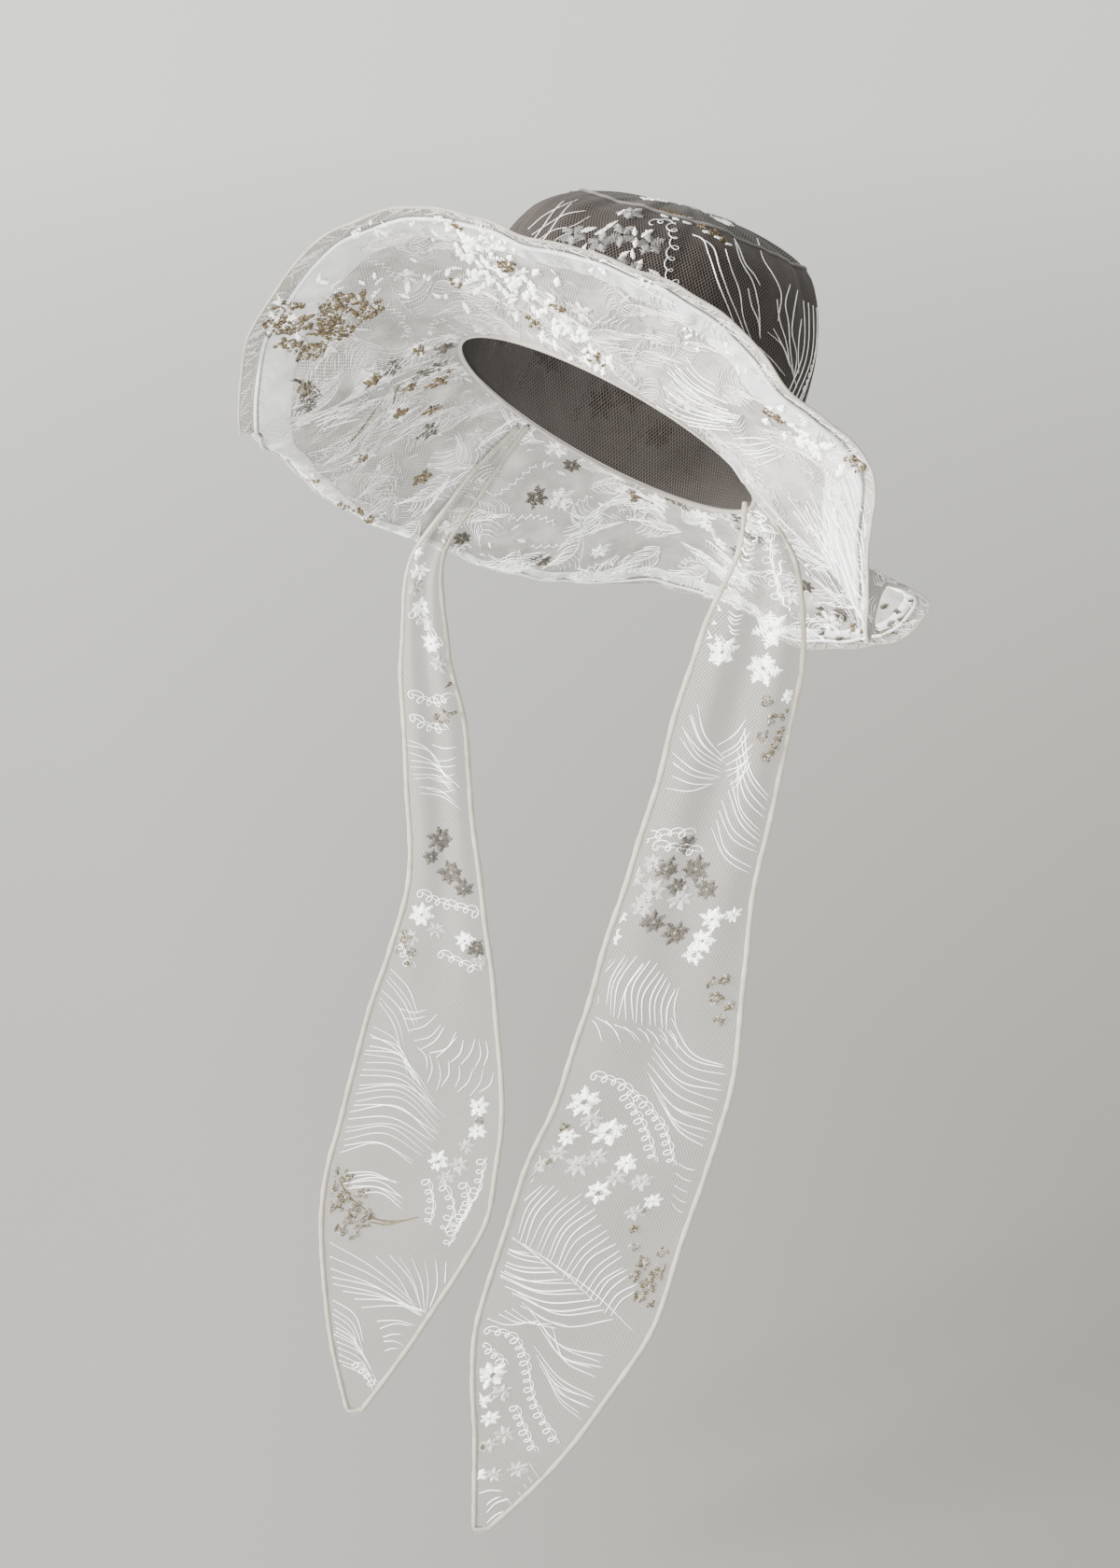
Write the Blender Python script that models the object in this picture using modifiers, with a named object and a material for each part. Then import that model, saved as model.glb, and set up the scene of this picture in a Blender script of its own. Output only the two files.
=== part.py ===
"""A soft lace hat with a wide wavy brim and two long net ties, held up as a head holds it.

Row frame in metres: +Z is up, the wearer looks along -Y and the wearer's left is +X.
The origin is the middle of the head opening.
Run it with blender --background --python part.py, or from Blender's text editor.
"""
from collections import namedtuple
from math import cos, pi, radians, sin, sqrt

import bmesh
import bpy
from mathutils import Vector

MM = 0.001
OBJECT_NAME = "lace_hat"

# Head opening: an oval, tilted back with its front raised and its left side a little lower
OPENING_HALF_WIDTH = 82.0
OPENING_HALF_DEPTH = 100.0
OPENING_PITCH = 38.0
OPENING_ROLL = 6.0

# Cloth walls and edges, in millimetres
CLOTH = 1.2
TIE_CLOTH = 1.0
TAPE_CLOTH = 1.0
GAP = 0.35
FACING_GAP = 0.6
SEAM_GAP = 0.85
OPENING_BINDING_RADIUS = 1.1
TIE_BINDING_RADIUS = 1.6
CORD_RADIUS = 1.0
NET_LEAST = 5.0

# The bound edge lies this far inside the opening's oval and this far below it, in millimetres
BINDING_INSIDE = 1.0
BINDING_BELOW = 0.5

# Where the brim's parts begin and end, as shares of the way from the opening to the rim
BRIM_INNER = 0.008
TAPE_INNER = 0.83
TAPE_OUTER = 0.915
CORD_PLACE = 0.93
BRIM_OUTER = 0.942
HEM_INNER = 0.9455
CURL_SHARE = 2.6

# Number of steps along each form
TURN_STEPS = 56
BRIM_TURN_STEPS = 80
BRIM_STEPS = 5
BAND_STEPS = 5
TIP_STEPS = 4
TIE_STEPS = 32
TIE_POINT_STEPS = 3
TIE_ACROSS = 8
TUBE_RESOLUTION = 1

# Shares of a tie's height: where its long steps end, where the short ones to the point begin,
# and how far to each side its slant is measured
LONG_STEPS_END = 0.95
POINT_STEPS_START = 0.965
SLANT_REACH = 0.004

# The brim's folds, a row for each place round the head. Turn is in degrees, from the front (0)
# by the wearer's left (90). Reach runs out along the opening's plane and lift above it, to the rim.
# Bow arches the cloth between them, and a curl below 0 turns the last of it up, like a gutter.
# All four are in millimetres.
Fold = namedtuple("Fold", "turn reach lift bow curl")
BRIM_FOLDS = [
    Fold(0, 119, 6, 6, 0),
    Fold(20, 115, 16, 6, 0),
    Fold(40, 115, 21, 4, 0),
    Fold(55, 119, 7, 4, 0),
    Fold(70, 120, -1, 4, 0),
    Fold(83, 105, -34, 4, 4),
    Fold(97, 99, -57, 6, 6),
    Fold(112, 84, -18, 2, 0),
    Fold(130, 113, -4, 0, 0),
    Fold(148, 124, -20, 3, 0),
    Fold(165, 114, -36, 3, 0),
    Fold(180, 108, -24, 0, 0),
    Fold(197, 105, -34, 2, 0),
    Fold(215, 100, -57, -6, -4),
    Fold(235, 90, -69, -12, -8),
    Fold(255, 87, -77, -14, -9),
    Fold(275, 88, -79, -14, -9),
    Fold(290, 87, -81, -11, -7),
    Fold(302, 84, -86, -6, -3),
    Fold(311, 81, -92, -2, 0),
    Fold(320, 94, -69, 5, 0),
    Fold(335, 107, -48, 8, 0),
    Fold(350, 121, -12, 8, 0),
]

# The crown's ovals from the head opening to the middle of the tip. Climb is the way up the cloth.
# Aside, back and height place the oval's middle, and pitch tilts it. Lengths are in millimetres.
Oval = namedtuple("Oval", "climb half_width half_depth aside back height pitch")
CROWN_OVALS = [
    Oval(0, 82, 100, 0, 0, 0, 38),
    Oval(32, 86, 105, 5, 16, 28, 33),
    Oval(64, 84, 101, 8, 34, 56, 29),
    Oval(90, 77, 90, 10, 47, 77, 27),
    Oval(108, 68, 77, 11, 56, 89, 24),
    Oval(119, 57, 65, 11, 60, 95, 22),
    Oval(139, 38, 44, 11, 62, 101, 21),
    Oval(161, 18, 21, 11, 63, 104, 20),
    Oval(180, 0, 0, 11, 63, 105, 20),
]
CROWN_START = 2.0
CROWN_SEAM = 114.0
CROWN_LAST_RING = 168.0
CROWN_TOP = 180.0

# The ties, a row for each height down the strip: where its middle lies, how wide it hangs,
# how far it turns toward the wearer's left, and how deep its two pleats are.
# Turn is in degrees and the rest in millimetres.
Strip = namedtuple("Strip", "height aside back width turn pleat")
LEFT_TIE = [
    Strip(-32.2, 77, 20, 11, 42, 1),
    Strip(-58, 92, 10, 34, 30, 6),
    Strip(-96, 94, -4, 57, 30, 9),
    Strip(-142, 94, -23, 65, 30, 8),
    Strip(-190, 92, -41, 68, 30, 6),
    Strip(-240, 88, -57, 75, 30, 4),
    Strip(-304, 85, -73, 89, 30, 2),
    Strip(-348, 81, -84, 97, 30, 1),
    Strip(-393, 72, -98, 103, 30, 0),
    Strip(-439, 65, -112, 103, 30, 0),
    Strip(-485, 58, -126, 103, 30, 0),
    Strip(-521, 51, -136, 86, 30, 0),
    Strip(-558, 45, -147, 62, 30, 0),
    Strip(-598, 34, -157, 34, 30, 0),
    Strip(-629, 23, -165, 8, 30, 0),
]
RIGHT_TIE = [
    Strip(-18.7, -77, 30, 11, 42, 1),
    Strip(-58, -104, 15, 18, 34, 4),
    Strip(-99, -124, 0, 22, 30, 6),
    Strip(-147, -111, -21, 31, 30, 6),
    Strip(-175, -98, -32, 38, 30, 6),
    Strip(-203, -87, -44, 39, 30, 5),
    Strip(-242, -74, -57, 41, 30, 4),
    Strip(-273, -67, -66, 47, 30, 3),
    Strip(-305, -65, -74, 62, 30, 2),
    Strip(-339, -65, -82, 76, 30, 1),
    Strip(-372, -63, -91, 89, 30, 0),
    Strip(-405, -61, -101, 98, 30, 0),
    Strip(-433, -62, -110, 103, 30, 0),
    Strip(-463, -62, -119, 102, 30, 0),
    Strip(-493, -65, -128, 88, 30, 0),
    Strip(-523, -69, -137, 68, 30, 0),
    Strip(-554, -72, -146, 45, 30, 0),
    Strip(-596, -77, -157, 8, 30, 0),
]

# Colours seen in the photograph, linear, and how rough each cloth is
CROWN_NET = (0.165, 0.140, 0.130)
BRIM_NET = (0.610, 0.580, 0.530)
SATIN = (0.850, 0.840, 0.820)
PALE_EDGE = (0.700, 0.660, 0.590)
TIE_NET = (0.520, 0.490, 0.440)


def make_material(name, colour, roughness):
    """A plain cloth material in the photograph's colour."""
    material = bpy.data.materials.new(name)
    material.use_nodes = True
    shader = material.node_tree.nodes["Principled BSDF"]
    shader.inputs["Base Color"].default_value = (*colour, 1.0)
    shader.inputs["Roughness"].default_value = roughness
    shader.inputs["Metallic"].default_value = 0.0
    material.diffuse_color = (*colour, 1.0)
    return material


def smooth(knots, place):
    """Value at a place on a smooth curve through four knots, each a pair of place and value."""
    (p0, v0), (p1, v1), (p2, v2), (p3, v3) = knots
    step = p2 - p1
    u = (place - p1) / step
    start_slope = (v2 - v0) / (p2 - p0)
    end_slope = (v3 - v1) / (p3 - p1)
    value = (2 * u**3 - 3 * u**2 + 1) * v1 + (3 * u**2 - 2 * u**3) * v2
    return value + step * ((u**3 - 2 * u**2 + u) * start_slope + (u**3 - u**2) * end_slope)


def round_value(rows, column, turn):
    """A column's value at a turn in degrees, on a closed curve through the rows."""
    turn = turn % 360
    count = len(rows)
    first = max(i for i in range(count) if rows[i].turn <= turn)

    def knot(index):
        lap, i = divmod(index, count)
        return rows[i].turn + 360 * lap, getattr(rows[i], column)

    return smooth([knot(i) for i in range(first - 1, first + 3)], turn)


def open_value(rows, column, key, place):
    """A column's value where the key column reaches a place, on an open curve through the rows."""
    last = len(rows) - 1
    sign = 1 if getattr(rows[last], key) > getattr(rows[0], key) else -1
    passed = [i for i in range(last) if sign * getattr(rows[i], key) <= sign * place]
    first = max(passed) if passed else 0

    def knot(index):
        if index < 0:
            (p0, v0), (p1, v1) = knot(0), knot(1)
            return 2 * p0 - p1, 2 * v0 - v1
        if index > last:
            (p0, v0), (p1, v1) = knot(last), knot(last - 1)
            return 2 * p0 - p1, 2 * v0 - v1
        return getattr(rows[index], key), getattr(rows[index], column)

    return smooth([knot(i) for i in range(first - 1, first + 3)], place)


def tilted_axes(pitch):
    """Directions of an oval tilted back: to the wearer's left, forward and up."""
    tilt = radians(pitch)
    roll = radians(OPENING_ROLL)
    forward = Vector((0, -cos(tilt), sin(tilt)))
    straight_up = Vector((0, sin(tilt), cos(tilt)))
    side = Vector((1, 0, 0)) * cos(roll) - straight_up * sin(roll)
    up = straight_up * cos(roll) + Vector((1, 0, 0)) * sin(roll)
    return side, forward, up


def opening_point(turn, outward=0.0, up=0.0):
    """A point of the head opening's edge, moved outward and up from it."""
    side, forward, upward = tilted_axes(OPENING_PITCH)
    angle = radians(turn)
    edge = side * OPENING_HALF_WIDTH * sin(angle) + forward * OPENING_HALF_DEPTH * cos(angle)
    away = side * sin(angle) + forward * cos(angle)
    return (edge + away * outward + upward * up) * MM


def brim_point(turn, out):
    """A point of the brim's cloth: out is 0 at the head opening and 1 at the rim."""
    reach, lift, bow, curl = (round_value(BRIM_FOLDS, c, turn) for c in ("reach", "lift", "bow", "curl"))
    arch = 4 * out * (1 - out)
    wave = CURL_SHARE * arch * (2 * out - 1)
    return opening_point(turn, reach * out, lift * out + bow * arch + curl * wave)


def brim_offset_point(turn, out, below):
    """A point under the brim's cloth, along its normal, in millimetres below its middle."""
    step = 0.01
    around = brim_point(turn + 1, out) - brim_point(turn - 1, out)
    outward = brim_point(turn, out + step) - brim_point(turn, out - step)
    normal = around.cross(outward).normalized()
    if normal.dot(tilted_axes(OPENING_PITCH)[2]) > 0:
        normal = -normal
    return brim_point(turn, out) + normal * below * MM


def crown_point(turn, climb):
    """A point of the crown's cloth, a distance in millimetres up from the opening."""
    columns = Oval._fields[1:]
    oval = Oval(climb, *(open_value(CROWN_OVALS, c, "climb", climb) for c in columns))
    side, forward, _ = tilted_axes(oval.pitch)
    angle = radians(turn)
    middle = Vector((oval.aside, oval.back, oval.height))
    return (middle + side * oval.half_width * sin(angle) + forward * oval.half_depth * cos(angle)) * MM


def tie_row(rows, along):
    """The strip's row at a share of its height, 0 at the root and 1 at the point."""
    height = rows[0].height + (rows[-1].height - rows[0].height) * along
    return Strip(height, *(open_value(rows, c, "height", height) for c in Strip._fields[1:]))


def tie_span(rows, along, inset):
    """How far the strip reaches to both sides of its middle, with its slanted edges drawn in."""
    row = tie_row(rows, along)
    before = tie_row(rows, max(along - SLANT_REACH, 0.0))
    after = tie_row(rows, min(along + SLANT_REACH, 1.0))
    moved = Vector((after.aside, after.back, after.height)) - Vector((before.aside, before.back, before.height))
    drift = moved.x * cos(radians(row.turn)) + moved.y * sin(radians(row.turn))
    run = sqrt(moved.length_squared - drift**2)
    spans = []
    for side in (-1, 1):
        slant = (drift + side * (after.width - before.width) / 2) / run
        spans.append(side * (row.width / 2 - inset * sqrt(1 + slant**2)))
    return spans


def tie_point(rows, along, across, inset=0.0):
    """A point of the tie: across runs from -1 to 1, on an outline drawn in by the inset."""
    row = tie_row(rows, along)
    angle = radians(row.turn)
    sideways = Vector((cos(angle), sin(angle), 0))
    toward_front = Vector((sin(angle), -cos(angle), 0))
    low, high = tie_span(rows, along, inset)
    reach = low + (high - low) * (across + 1) / 2
    depth = row.pleat * (1 - cos(4 * pi * reach / row.width)) / 2
    middle = Vector((row.aside, row.back, row.height))
    return (middle + sideways * reach + toward_front * depth) * MM


def stations(rows, inset, least):
    """Steps down the tie that leave a least width between its drawn-in edges."""
    steps = shares(0.0, LONG_STEPS_END, TIE_STEPS) + shares(POINT_STEPS_START, 1.0, TIE_POINT_STEPS)
    wide = [tie_span(rows, a, inset)[1] - tie_span(rows, a, inset)[0] >= least for a in steps]
    return [a for a, enough in zip(steps, wide) if enough]


def add_object(name, mesh_or_curve, material):
    """Put a new object of the hat in the collection named for it."""
    mesh_or_curve.materials.append(material)
    piece = bpy.data.objects.new(name, mesh_or_curve)
    bpy.data.collections[OBJECT_NAME].objects.link(piece)
    return piece


def add_cloth(name, lines, closed, thickness, material, peak=None):
    """A cloth wall of one thickness over lines of points, closed in a ring or open."""
    shape = bmesh.new()
    grid = [[shape.verts.new(point) for point in line] for line in lines]
    for low, high in zip(grid, grid[1:]):
        count = len(low)
        for i in range(count if closed else count - 1):
            j = (i + 1) % count
            shape.faces.new((low[i], low[j], high[j], high[i]))
    if peak is not None:
        top = shape.verts.new(peak)
        last = grid[-1]
        for i in range(len(last)):
            shape.faces.new((last[i], last[(i + 1) % len(last)], top))
    mesh = bpy.data.meshes.new(name)
    shape.to_mesh(mesh)
    shape.free()
    piece = add_object(name, mesh, material)
    wall = piece.modifiers.new("wall", "SOLIDIFY")
    wall.thickness = thickness * MM
    wall.offset = 0.0
    return piece


def add_tube(name, points, radius, closed, material):
    """A round edge or cord through points: a poly spline with a bevel."""
    curve = bpy.data.curves.new(name, "CURVE")
    curve.dimensions = "3D"
    curve.bevel_depth = radius * MM
    curve.bevel_resolution = TUBE_RESOLUTION
    curve.use_fill_caps = not closed
    spline = curve.splines.new("POLY")
    spline.points.add(len(points) - 1)
    for spot, point in zip(spline.points, points):
        spot.co = (*point, 1.0)
    spline.use_cyclic_u = closed
    return add_object(name, curve, material)


def turns(count):
    """Even turns round the head, in degrees."""
    return [360 * i / count for i in range(count)]


def shares(start, end, steps):
    """Even steps from start to end, both included."""
    return [start + (end - start) * i / steps for i in range(steps + 1)]


def make_crown(net):
    """The side band and the round tip, which meet at a seam ridge."""
    ring = turns(TURN_STEPS)
    band = shares(CROWN_START, CROWN_SEAM - SEAM_GAP / 2, BAND_STEPS)
    add_cloth("crown_band", [[crown_point(t, c) for t in ring] for c in band], True, CLOTH, net)
    tip = shares(CROWN_SEAM + SEAM_GAP / 2, CROWN_LAST_RING, TIP_STEPS)
    peak = crown_point(0, CROWN_TOP)
    add_cloth("crown_tip", [[crown_point(t, c) for t in ring] for c in tip], True, CLOTH, net, peak)


def make_opening_binding(edge):
    """The thin bound edge round the head opening, inside the brim's inner edge."""
    points = [opening_point(t, -BINDING_INSIDE, -BINDING_BELOW) for t in turns(TURN_STEPS)]
    add_tube("opening_binding", points, OPENING_BINDING_RADIUS, True, edge)


def make_brim(net, satin):
    """The brim, its lace hem, and the satin tape and cord sewn under it."""
    ring = turns(BRIM_TURN_STEPS)
    cloth = shares(BRIM_INNER, TAPE_INNER, BRIM_STEPS) + [TAPE_OUTER, BRIM_OUTER]
    add_cloth("brim", [[brim_point(t, o) for t in ring] for o in cloth], True, CLOTH, net)
    hem = (HEM_INNER, 1.0)
    add_cloth("brim_hem", [[brim_point(t, o) for t in ring] for o in hem], True, CLOTH, net)
    under_tape = (CLOTH + TAPE_CLOTH) / 2 + FACING_GAP
    tape = shares(TAPE_INNER, TAPE_OUTER, 1)
    lines = [[brim_offset_point(t, o, under_tape) for t in ring] for o in tape]
    add_cloth("facing_tape", lines, True, TAPE_CLOTH, satin)
    under_cord = CLOTH / 2 + CORD_RADIUS + FACING_GAP
    points = [brim_offset_point(t, CORD_PLACE, under_cord) for t in ring]
    add_tube("facing_cord", points, CORD_RADIUS, True, satin)


def make_tie(name, rows, net, edge):
    """A net strip with a slanted point, and the rolled edge that runs down and up round it."""
    inset = 2 * TIE_BINDING_RADIUS + FACING_GAP
    acrosses = shares(-1.0, 1.0, TIE_ACROSS)
    downs = stations(rows, inset, NET_LEAST)
    lines = [[tie_point(rows, along, a, inset) for a in acrosses] for along in downs]
    add_cloth(name, lines, False, TIE_CLOTH, net)

    centre = TIE_BINDING_RADIUS
    downs = stations(rows, centre, 2 * TIE_BINDING_RADIUS + GAP)
    down = [tie_point(rows, a, -1, centre) for a in downs]
    up = [tie_point(rows, a, 1, centre) for a in reversed(downs)]
    turned = (down[-1] + up[0]) / 2 + (down[-1] - down[-2]).normalized() * centre * MM
    add_tube(name + "_binding", down + [turned] + up, TIE_BINDING_RADIUS, False, edge)


def clear_scene():
    """Remove what the scene holds, so the script can run again."""
    for old in list(bpy.data.objects):
        bpy.data.objects.remove(old, do_unlink=True)


def main():
    clear_scene()
    collection = bpy.data.collections.new(OBJECT_NAME)
    bpy.context.scene.collection.children.link(collection)
    crown_net = make_material("crown_net", CROWN_NET, 0.85)
    brim_net = make_material("brim_net", BRIM_NET, 0.80)
    satin = make_material("satin", SATIN, 0.35)
    pale_edge = make_material("pale_edge", PALE_EDGE, 0.70)
    tie_net = make_material("tie_net", TIE_NET, 0.80)
    make_crown(crown_net)
    make_opening_binding(pale_edge)
    make_brim(brim_net, satin)
    make_tie("tie_left", LEFT_TIE, tie_net, pale_edge)
    make_tie("tie_right", RIGHT_TIE, tie_net, pale_edge)


main()
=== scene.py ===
# %% [markdown]
# # A lace hat with two long net ties
# The hat is sheer lace, so almost nothing on it is a plain surface: it is net with thread
# sewn on top. A packed plain model gives the true size and place of every part. This lesson
# lays thin lace, satin and thread over it, piece by piece, and keeps to its shape.

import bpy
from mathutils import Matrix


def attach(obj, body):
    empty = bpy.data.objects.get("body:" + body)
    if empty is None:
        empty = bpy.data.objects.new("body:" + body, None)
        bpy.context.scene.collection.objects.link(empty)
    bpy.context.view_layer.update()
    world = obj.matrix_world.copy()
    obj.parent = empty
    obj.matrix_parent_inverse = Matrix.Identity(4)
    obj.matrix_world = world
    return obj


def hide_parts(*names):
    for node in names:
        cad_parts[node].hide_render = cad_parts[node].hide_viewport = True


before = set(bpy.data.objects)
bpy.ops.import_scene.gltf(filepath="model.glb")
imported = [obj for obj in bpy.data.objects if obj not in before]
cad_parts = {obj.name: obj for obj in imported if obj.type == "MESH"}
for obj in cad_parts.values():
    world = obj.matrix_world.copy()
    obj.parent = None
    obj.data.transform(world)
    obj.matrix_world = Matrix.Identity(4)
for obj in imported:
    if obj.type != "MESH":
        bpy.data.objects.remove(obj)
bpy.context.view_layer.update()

# %% Tools that the lesson uses
from collections import namedtuple
from math import ceil, cos, hypot, pi, radians, sin, sqrt

import bpy
import numpy as np
from mathutils import Euler, Vector
from mathutils.bvhtree import BVHTree

MM = 0.001
print("Blender", bpy.app.version_string)

# %% [markdown]
# ## The camera
# The camera comes first, because motifs are placed where the photograph shows them. It stands
# in front of the hat, a little above it, and looks down. A 50 mm lens gives the same mild
# perspective as the photograph. Matching the camera by eye would also work, but a few known
# sizes on the hat settle it far more closely.

# %% Camera
PHOTO_WIDE = 1200
PHOTO_TALL = 1680
LENS = 50.0
SENSOR = 36.0
CAMERA_PLACE = (0.6125, -0.9432, 0.3225)
CAMERA_TILT = 64.70
CAMERA_TURN = 34.31

camera_data = bpy.data.cameras.new("camera")
camera_data.lens = LENS
camera_data.sensor_width = SENSOR
camera = bpy.data.objects.new("camera", camera_data)
camera.location = CAMERA_PLACE
camera.rotation_euler = (radians(CAMERA_TILT), 0.0, radians(CAMERA_TURN))
bpy.context.scene.collection.objects.link(camera)
bpy.context.scene.camera = camera
CAMERA_AXES = Euler((radians(CAMERA_TILT), 0.0, radians(CAMERA_TURN))).to_matrix()
PIXELS_PER_FOCUS = LENS / SENSOR * PHOTO_TALL


def pixel_ray(x, y):
    """Where the camera is and the direction in which it sees a pixel of the photograph."""
    across = (x - PHOTO_WIDE / 2) / PIXELS_PER_FOCUS
    up = (PHOTO_TALL / 2 - y) / PIXELS_PER_FOCUS
    return Vector(CAMERA_PLACE), (CAMERA_AXES @ Vector((across, up, -1.0))).normalized()


print("camera looks along", [round(v, 3) for v in pixel_ray(600, 840)[1]])

# %% [markdown]
# ## The hat's own measures
# The plain model was made from these sizes, and the lace needs the same ones. Each row is a
# place round the brim, an oval of the crown, or a height down a tie, and each column is
# a measure that anyone could take from the hat with a ruler. Reading points from the plain
# mesh would be quicker, but a curve through named measures is smooth at any fineness. Only the
# satin tape has a table of its own: the plain tape is an even band, and the real one is much
# wider in places. A turn of 0 degrees is the front and 90 degrees the wearer's left.

# %% Head opening and cloth edges: millimetres and degrees, then shares of the brim's width
OPENING_HALF_WIDTH = 82.0
OPENING_HALF_DEPTH = 100.0
OPENING_PITCH = 38.0
OPENING_ROLL = 6.0
BRIM_WIDTH = 118.0
TIE_EDGE = 1.6
CURL_SHARE = 2.6
TAPE_OUTER = 0.915
CORD_PLACE = 0.93
print("the opening is", 2 * OPENING_HALF_WIDTH, "by", 2 * OPENING_HALF_DEPTH, "mm")

# %% The brim's folds
Fold = namedtuple("Fold", "turn reach lift bow curl")
BRIM_FOLDS = [
    Fold(0, 119, 6, 6, 0),
    Fold(20, 115, 16, 6, 0),
    Fold(40, 115, 21, 4, 0),
    Fold(55, 119, 7, 4, 0),
    Fold(70, 120, -1, 4, 0),
    Fold(83, 105, -34, 4, 4),
    Fold(97, 99, -57, 6, 6),
    Fold(112, 84, -18, 2, 0),
    Fold(130, 113, -4, 0, 0),
    Fold(148, 124, -20, 3, 0),
    Fold(165, 114, -36, 3, 0),
    Fold(180, 108, -24, 0, 0),
    Fold(197, 105, -34, 2, 0),
    Fold(215, 100, -57, -6, -4),
    Fold(235, 90, -69, -12, -8),
    Fold(255, 87, -77, -14, -9),
    Fold(275, 88, -79, -14, -9),
    Fold(290, 87, -81, -11, -7),
    Fold(302, 84, -86, -6, -3),
    Fold(311, 81, -92, -2, 0),
    Fold(320, 94, -69, 5, 0),
    Fold(335, 107, -48, 8, 0),
    Fold(350, 121, -12, 8, 0),
]
print(len(BRIM_FOLDS), "places round the brim")

# %% How far in the satin tape reaches, as a share of the brim's width
TapeEdge = namedtuple("TapeEdge", "turn inner")
TAPE_EDGES = [
    TapeEdge(0, 0.75),
    TapeEdge(30, 0.73),
    TapeEdge(55, 0.71),
    TapeEdge(75, 0.69),
    TapeEdge(90, 0.63),
    TapeEdge(100, 0.62),
    TapeEdge(112, 0.74),
    TapeEdge(130, 0.86),
    TapeEdge(160, 0.86),
    TapeEdge(180, 0.83),
    TapeEdge(230, 0.82),
    TapeEdge(265, 0.77),
    TapeEdge(300, 0.76),
    TapeEdge(330, 0.76),
]
print("the tape is widest at share", min(row.inner for row in TAPE_EDGES))

# %% The crown's ovals
Oval = namedtuple("Oval", "climb half_width half_depth aside back height pitch")
CROWN_OVALS = [
    Oval(0, 82, 100, 0, 0, 0, 38),
    Oval(32, 86, 105, 5, 16, 28, 33),
    Oval(64, 84, 101, 8, 34, 56, 29),
    Oval(90, 77, 90, 10, 47, 77, 27),
    Oval(108, 68, 77, 11, 56, 89, 24),
    Oval(119, 57, 65, 11, 60, 95, 22),
    Oval(139, 38, 44, 11, 62, 101, 21),
    Oval(161, 18, 21, 11, 63, 104, 20),
    Oval(180, 0, 0, 11, 63, 105, 20),
]
CROWN_START = 1.0
CROWN_SEAM = 114.0
CROWN_TOP = 179.6
print("crown cloth runs up", CROWN_TOP, "mm")

# %% The two ties
Strip = namedtuple("Strip", "height aside back width turn pleat")
LEFT_TIE = [
    Strip(-32.2, 77, 20, 11, 42, 1),
    Strip(-58, 92, 10, 34, 30, 6),
    Strip(-96, 94, -4, 57, 30, 9),
    Strip(-142, 94, -23, 65, 30, 8),
    Strip(-190, 92, -41, 68, 30, 6),
    Strip(-240, 88, -57, 75, 30, 4),
    Strip(-304, 85, -73, 89, 30, 2),
    Strip(-348, 81, -84, 97, 30, 1),
    Strip(-393, 72, -98, 103, 30, 0),
    Strip(-439, 65, -112, 103, 30, 0),
    Strip(-485, 58, -126, 103, 30, 0),
    Strip(-521, 51, -136, 86, 30, 0),
    Strip(-558, 45, -147, 62, 30, 0),
    Strip(-598, 34, -157, 34, 30, 0),
    Strip(-629, 23, -165, 8, 30, 0),
]
RIGHT_TIE = [
    Strip(-18.7, -77, 30, 11, 42, 1),
    Strip(-58, -104, 15, 18, 34, 4),
    Strip(-99, -124, 0, 22, 30, 6),
    Strip(-147, -111, -21, 31, 30, 6),
    Strip(-175, -98, -32, 38, 30, 6),
    Strip(-203, -87, -44, 39, 30, 5),
    Strip(-242, -74, -57, 41, 30, 4),
    Strip(-273, -67, -66, 47, 30, 3),
    Strip(-305, -65, -74, 62, 30, 2),
    Strip(-339, -65, -82, 76, 30, 1),
    Strip(-372, -63, -91, 89, 30, 0),
    Strip(-405, -61, -101, 98, 30, 0),
    Strip(-433, -62, -110, 103, 30, 0),
    Strip(-463, -62, -119, 102, 30, 0),
    Strip(-493, -65, -128, 88, 30, 0),
    Strip(-523, -69, -137, 68, 30, 0),
    Strip(-554, -72, -146, 45, 30, 0),
    Strip(-596, -77, -157, 8, 30, 0),
]
SLANT_REACH = 0.004
for rows in (LEFT_TIE, RIGHT_TIE):
    print("a tie hangs", rows[0].height - rows[-1].height, "mm down")

# %% [markdown]
# ## Curves through the measures
# Between two rows the cloth runs on a smooth curve that passes through every row. Straight
# lines between rows would show as creases all round the brim.

# %% Smooth curves


def smooth(knots, place):
    """Value at a place on a smooth curve through four knots, each a pair of place and value."""
    (p0, v0), (p1, v1), (p2, v2), (p3, v3) = knots
    step = p2 - p1
    u = (place - p1) / step
    start_slope = (v2 - v0) / (p2 - p0)
    end_slope = (v3 - v1) / (p3 - p1)
    value = (2 * u**3 - 3 * u**2 + 1) * v1 + (3 * u**2 - 2 * u**3) * v2
    return value + step * ((u**3 - 2 * u**2 + u) * start_slope + (u**3 - u**2) * end_slope)


def round_value(rows, column, turn):
    """A column's value at a turn in degrees, on a closed curve through the rows."""
    turn = turn % 360
    count = len(rows)
    first = max(i for i in range(count) if rows[i].turn <= turn)

    def knot(index):
        lap, i = divmod(index, count)
        return rows[i].turn + 360 * lap, getattr(rows[i], column)

    return smooth([knot(i) for i in range(first - 1, first + 3)], turn)


def open_value(rows, column, key, place):
    """A column's value where the key column reaches a place, on an open curve through the rows."""
    last = len(rows) - 1
    sign = 1 if getattr(rows[last], key) > getattr(rows[0], key) else -1
    passed = [i for i in range(last) if sign * getattr(rows[i], key) <= sign * place]
    first = max(passed) if passed else 0

    def knot(index):
        if index < 0:
            (p0, v0), (p1, v1) = knot(0), knot(1)
            return 2 * p0 - p1, 2 * v0 - v1
        if index > last:
            (p0, v0), (p1, v1) = knot(last), knot(last - 1)
            return 2 * p0 - p1, 2 * v0 - v1
        return getattr(rows[index], key), getattr(rows[index], column)

    return smooth([knot(i) for i in range(first - 1, first + 3)], place)


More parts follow.
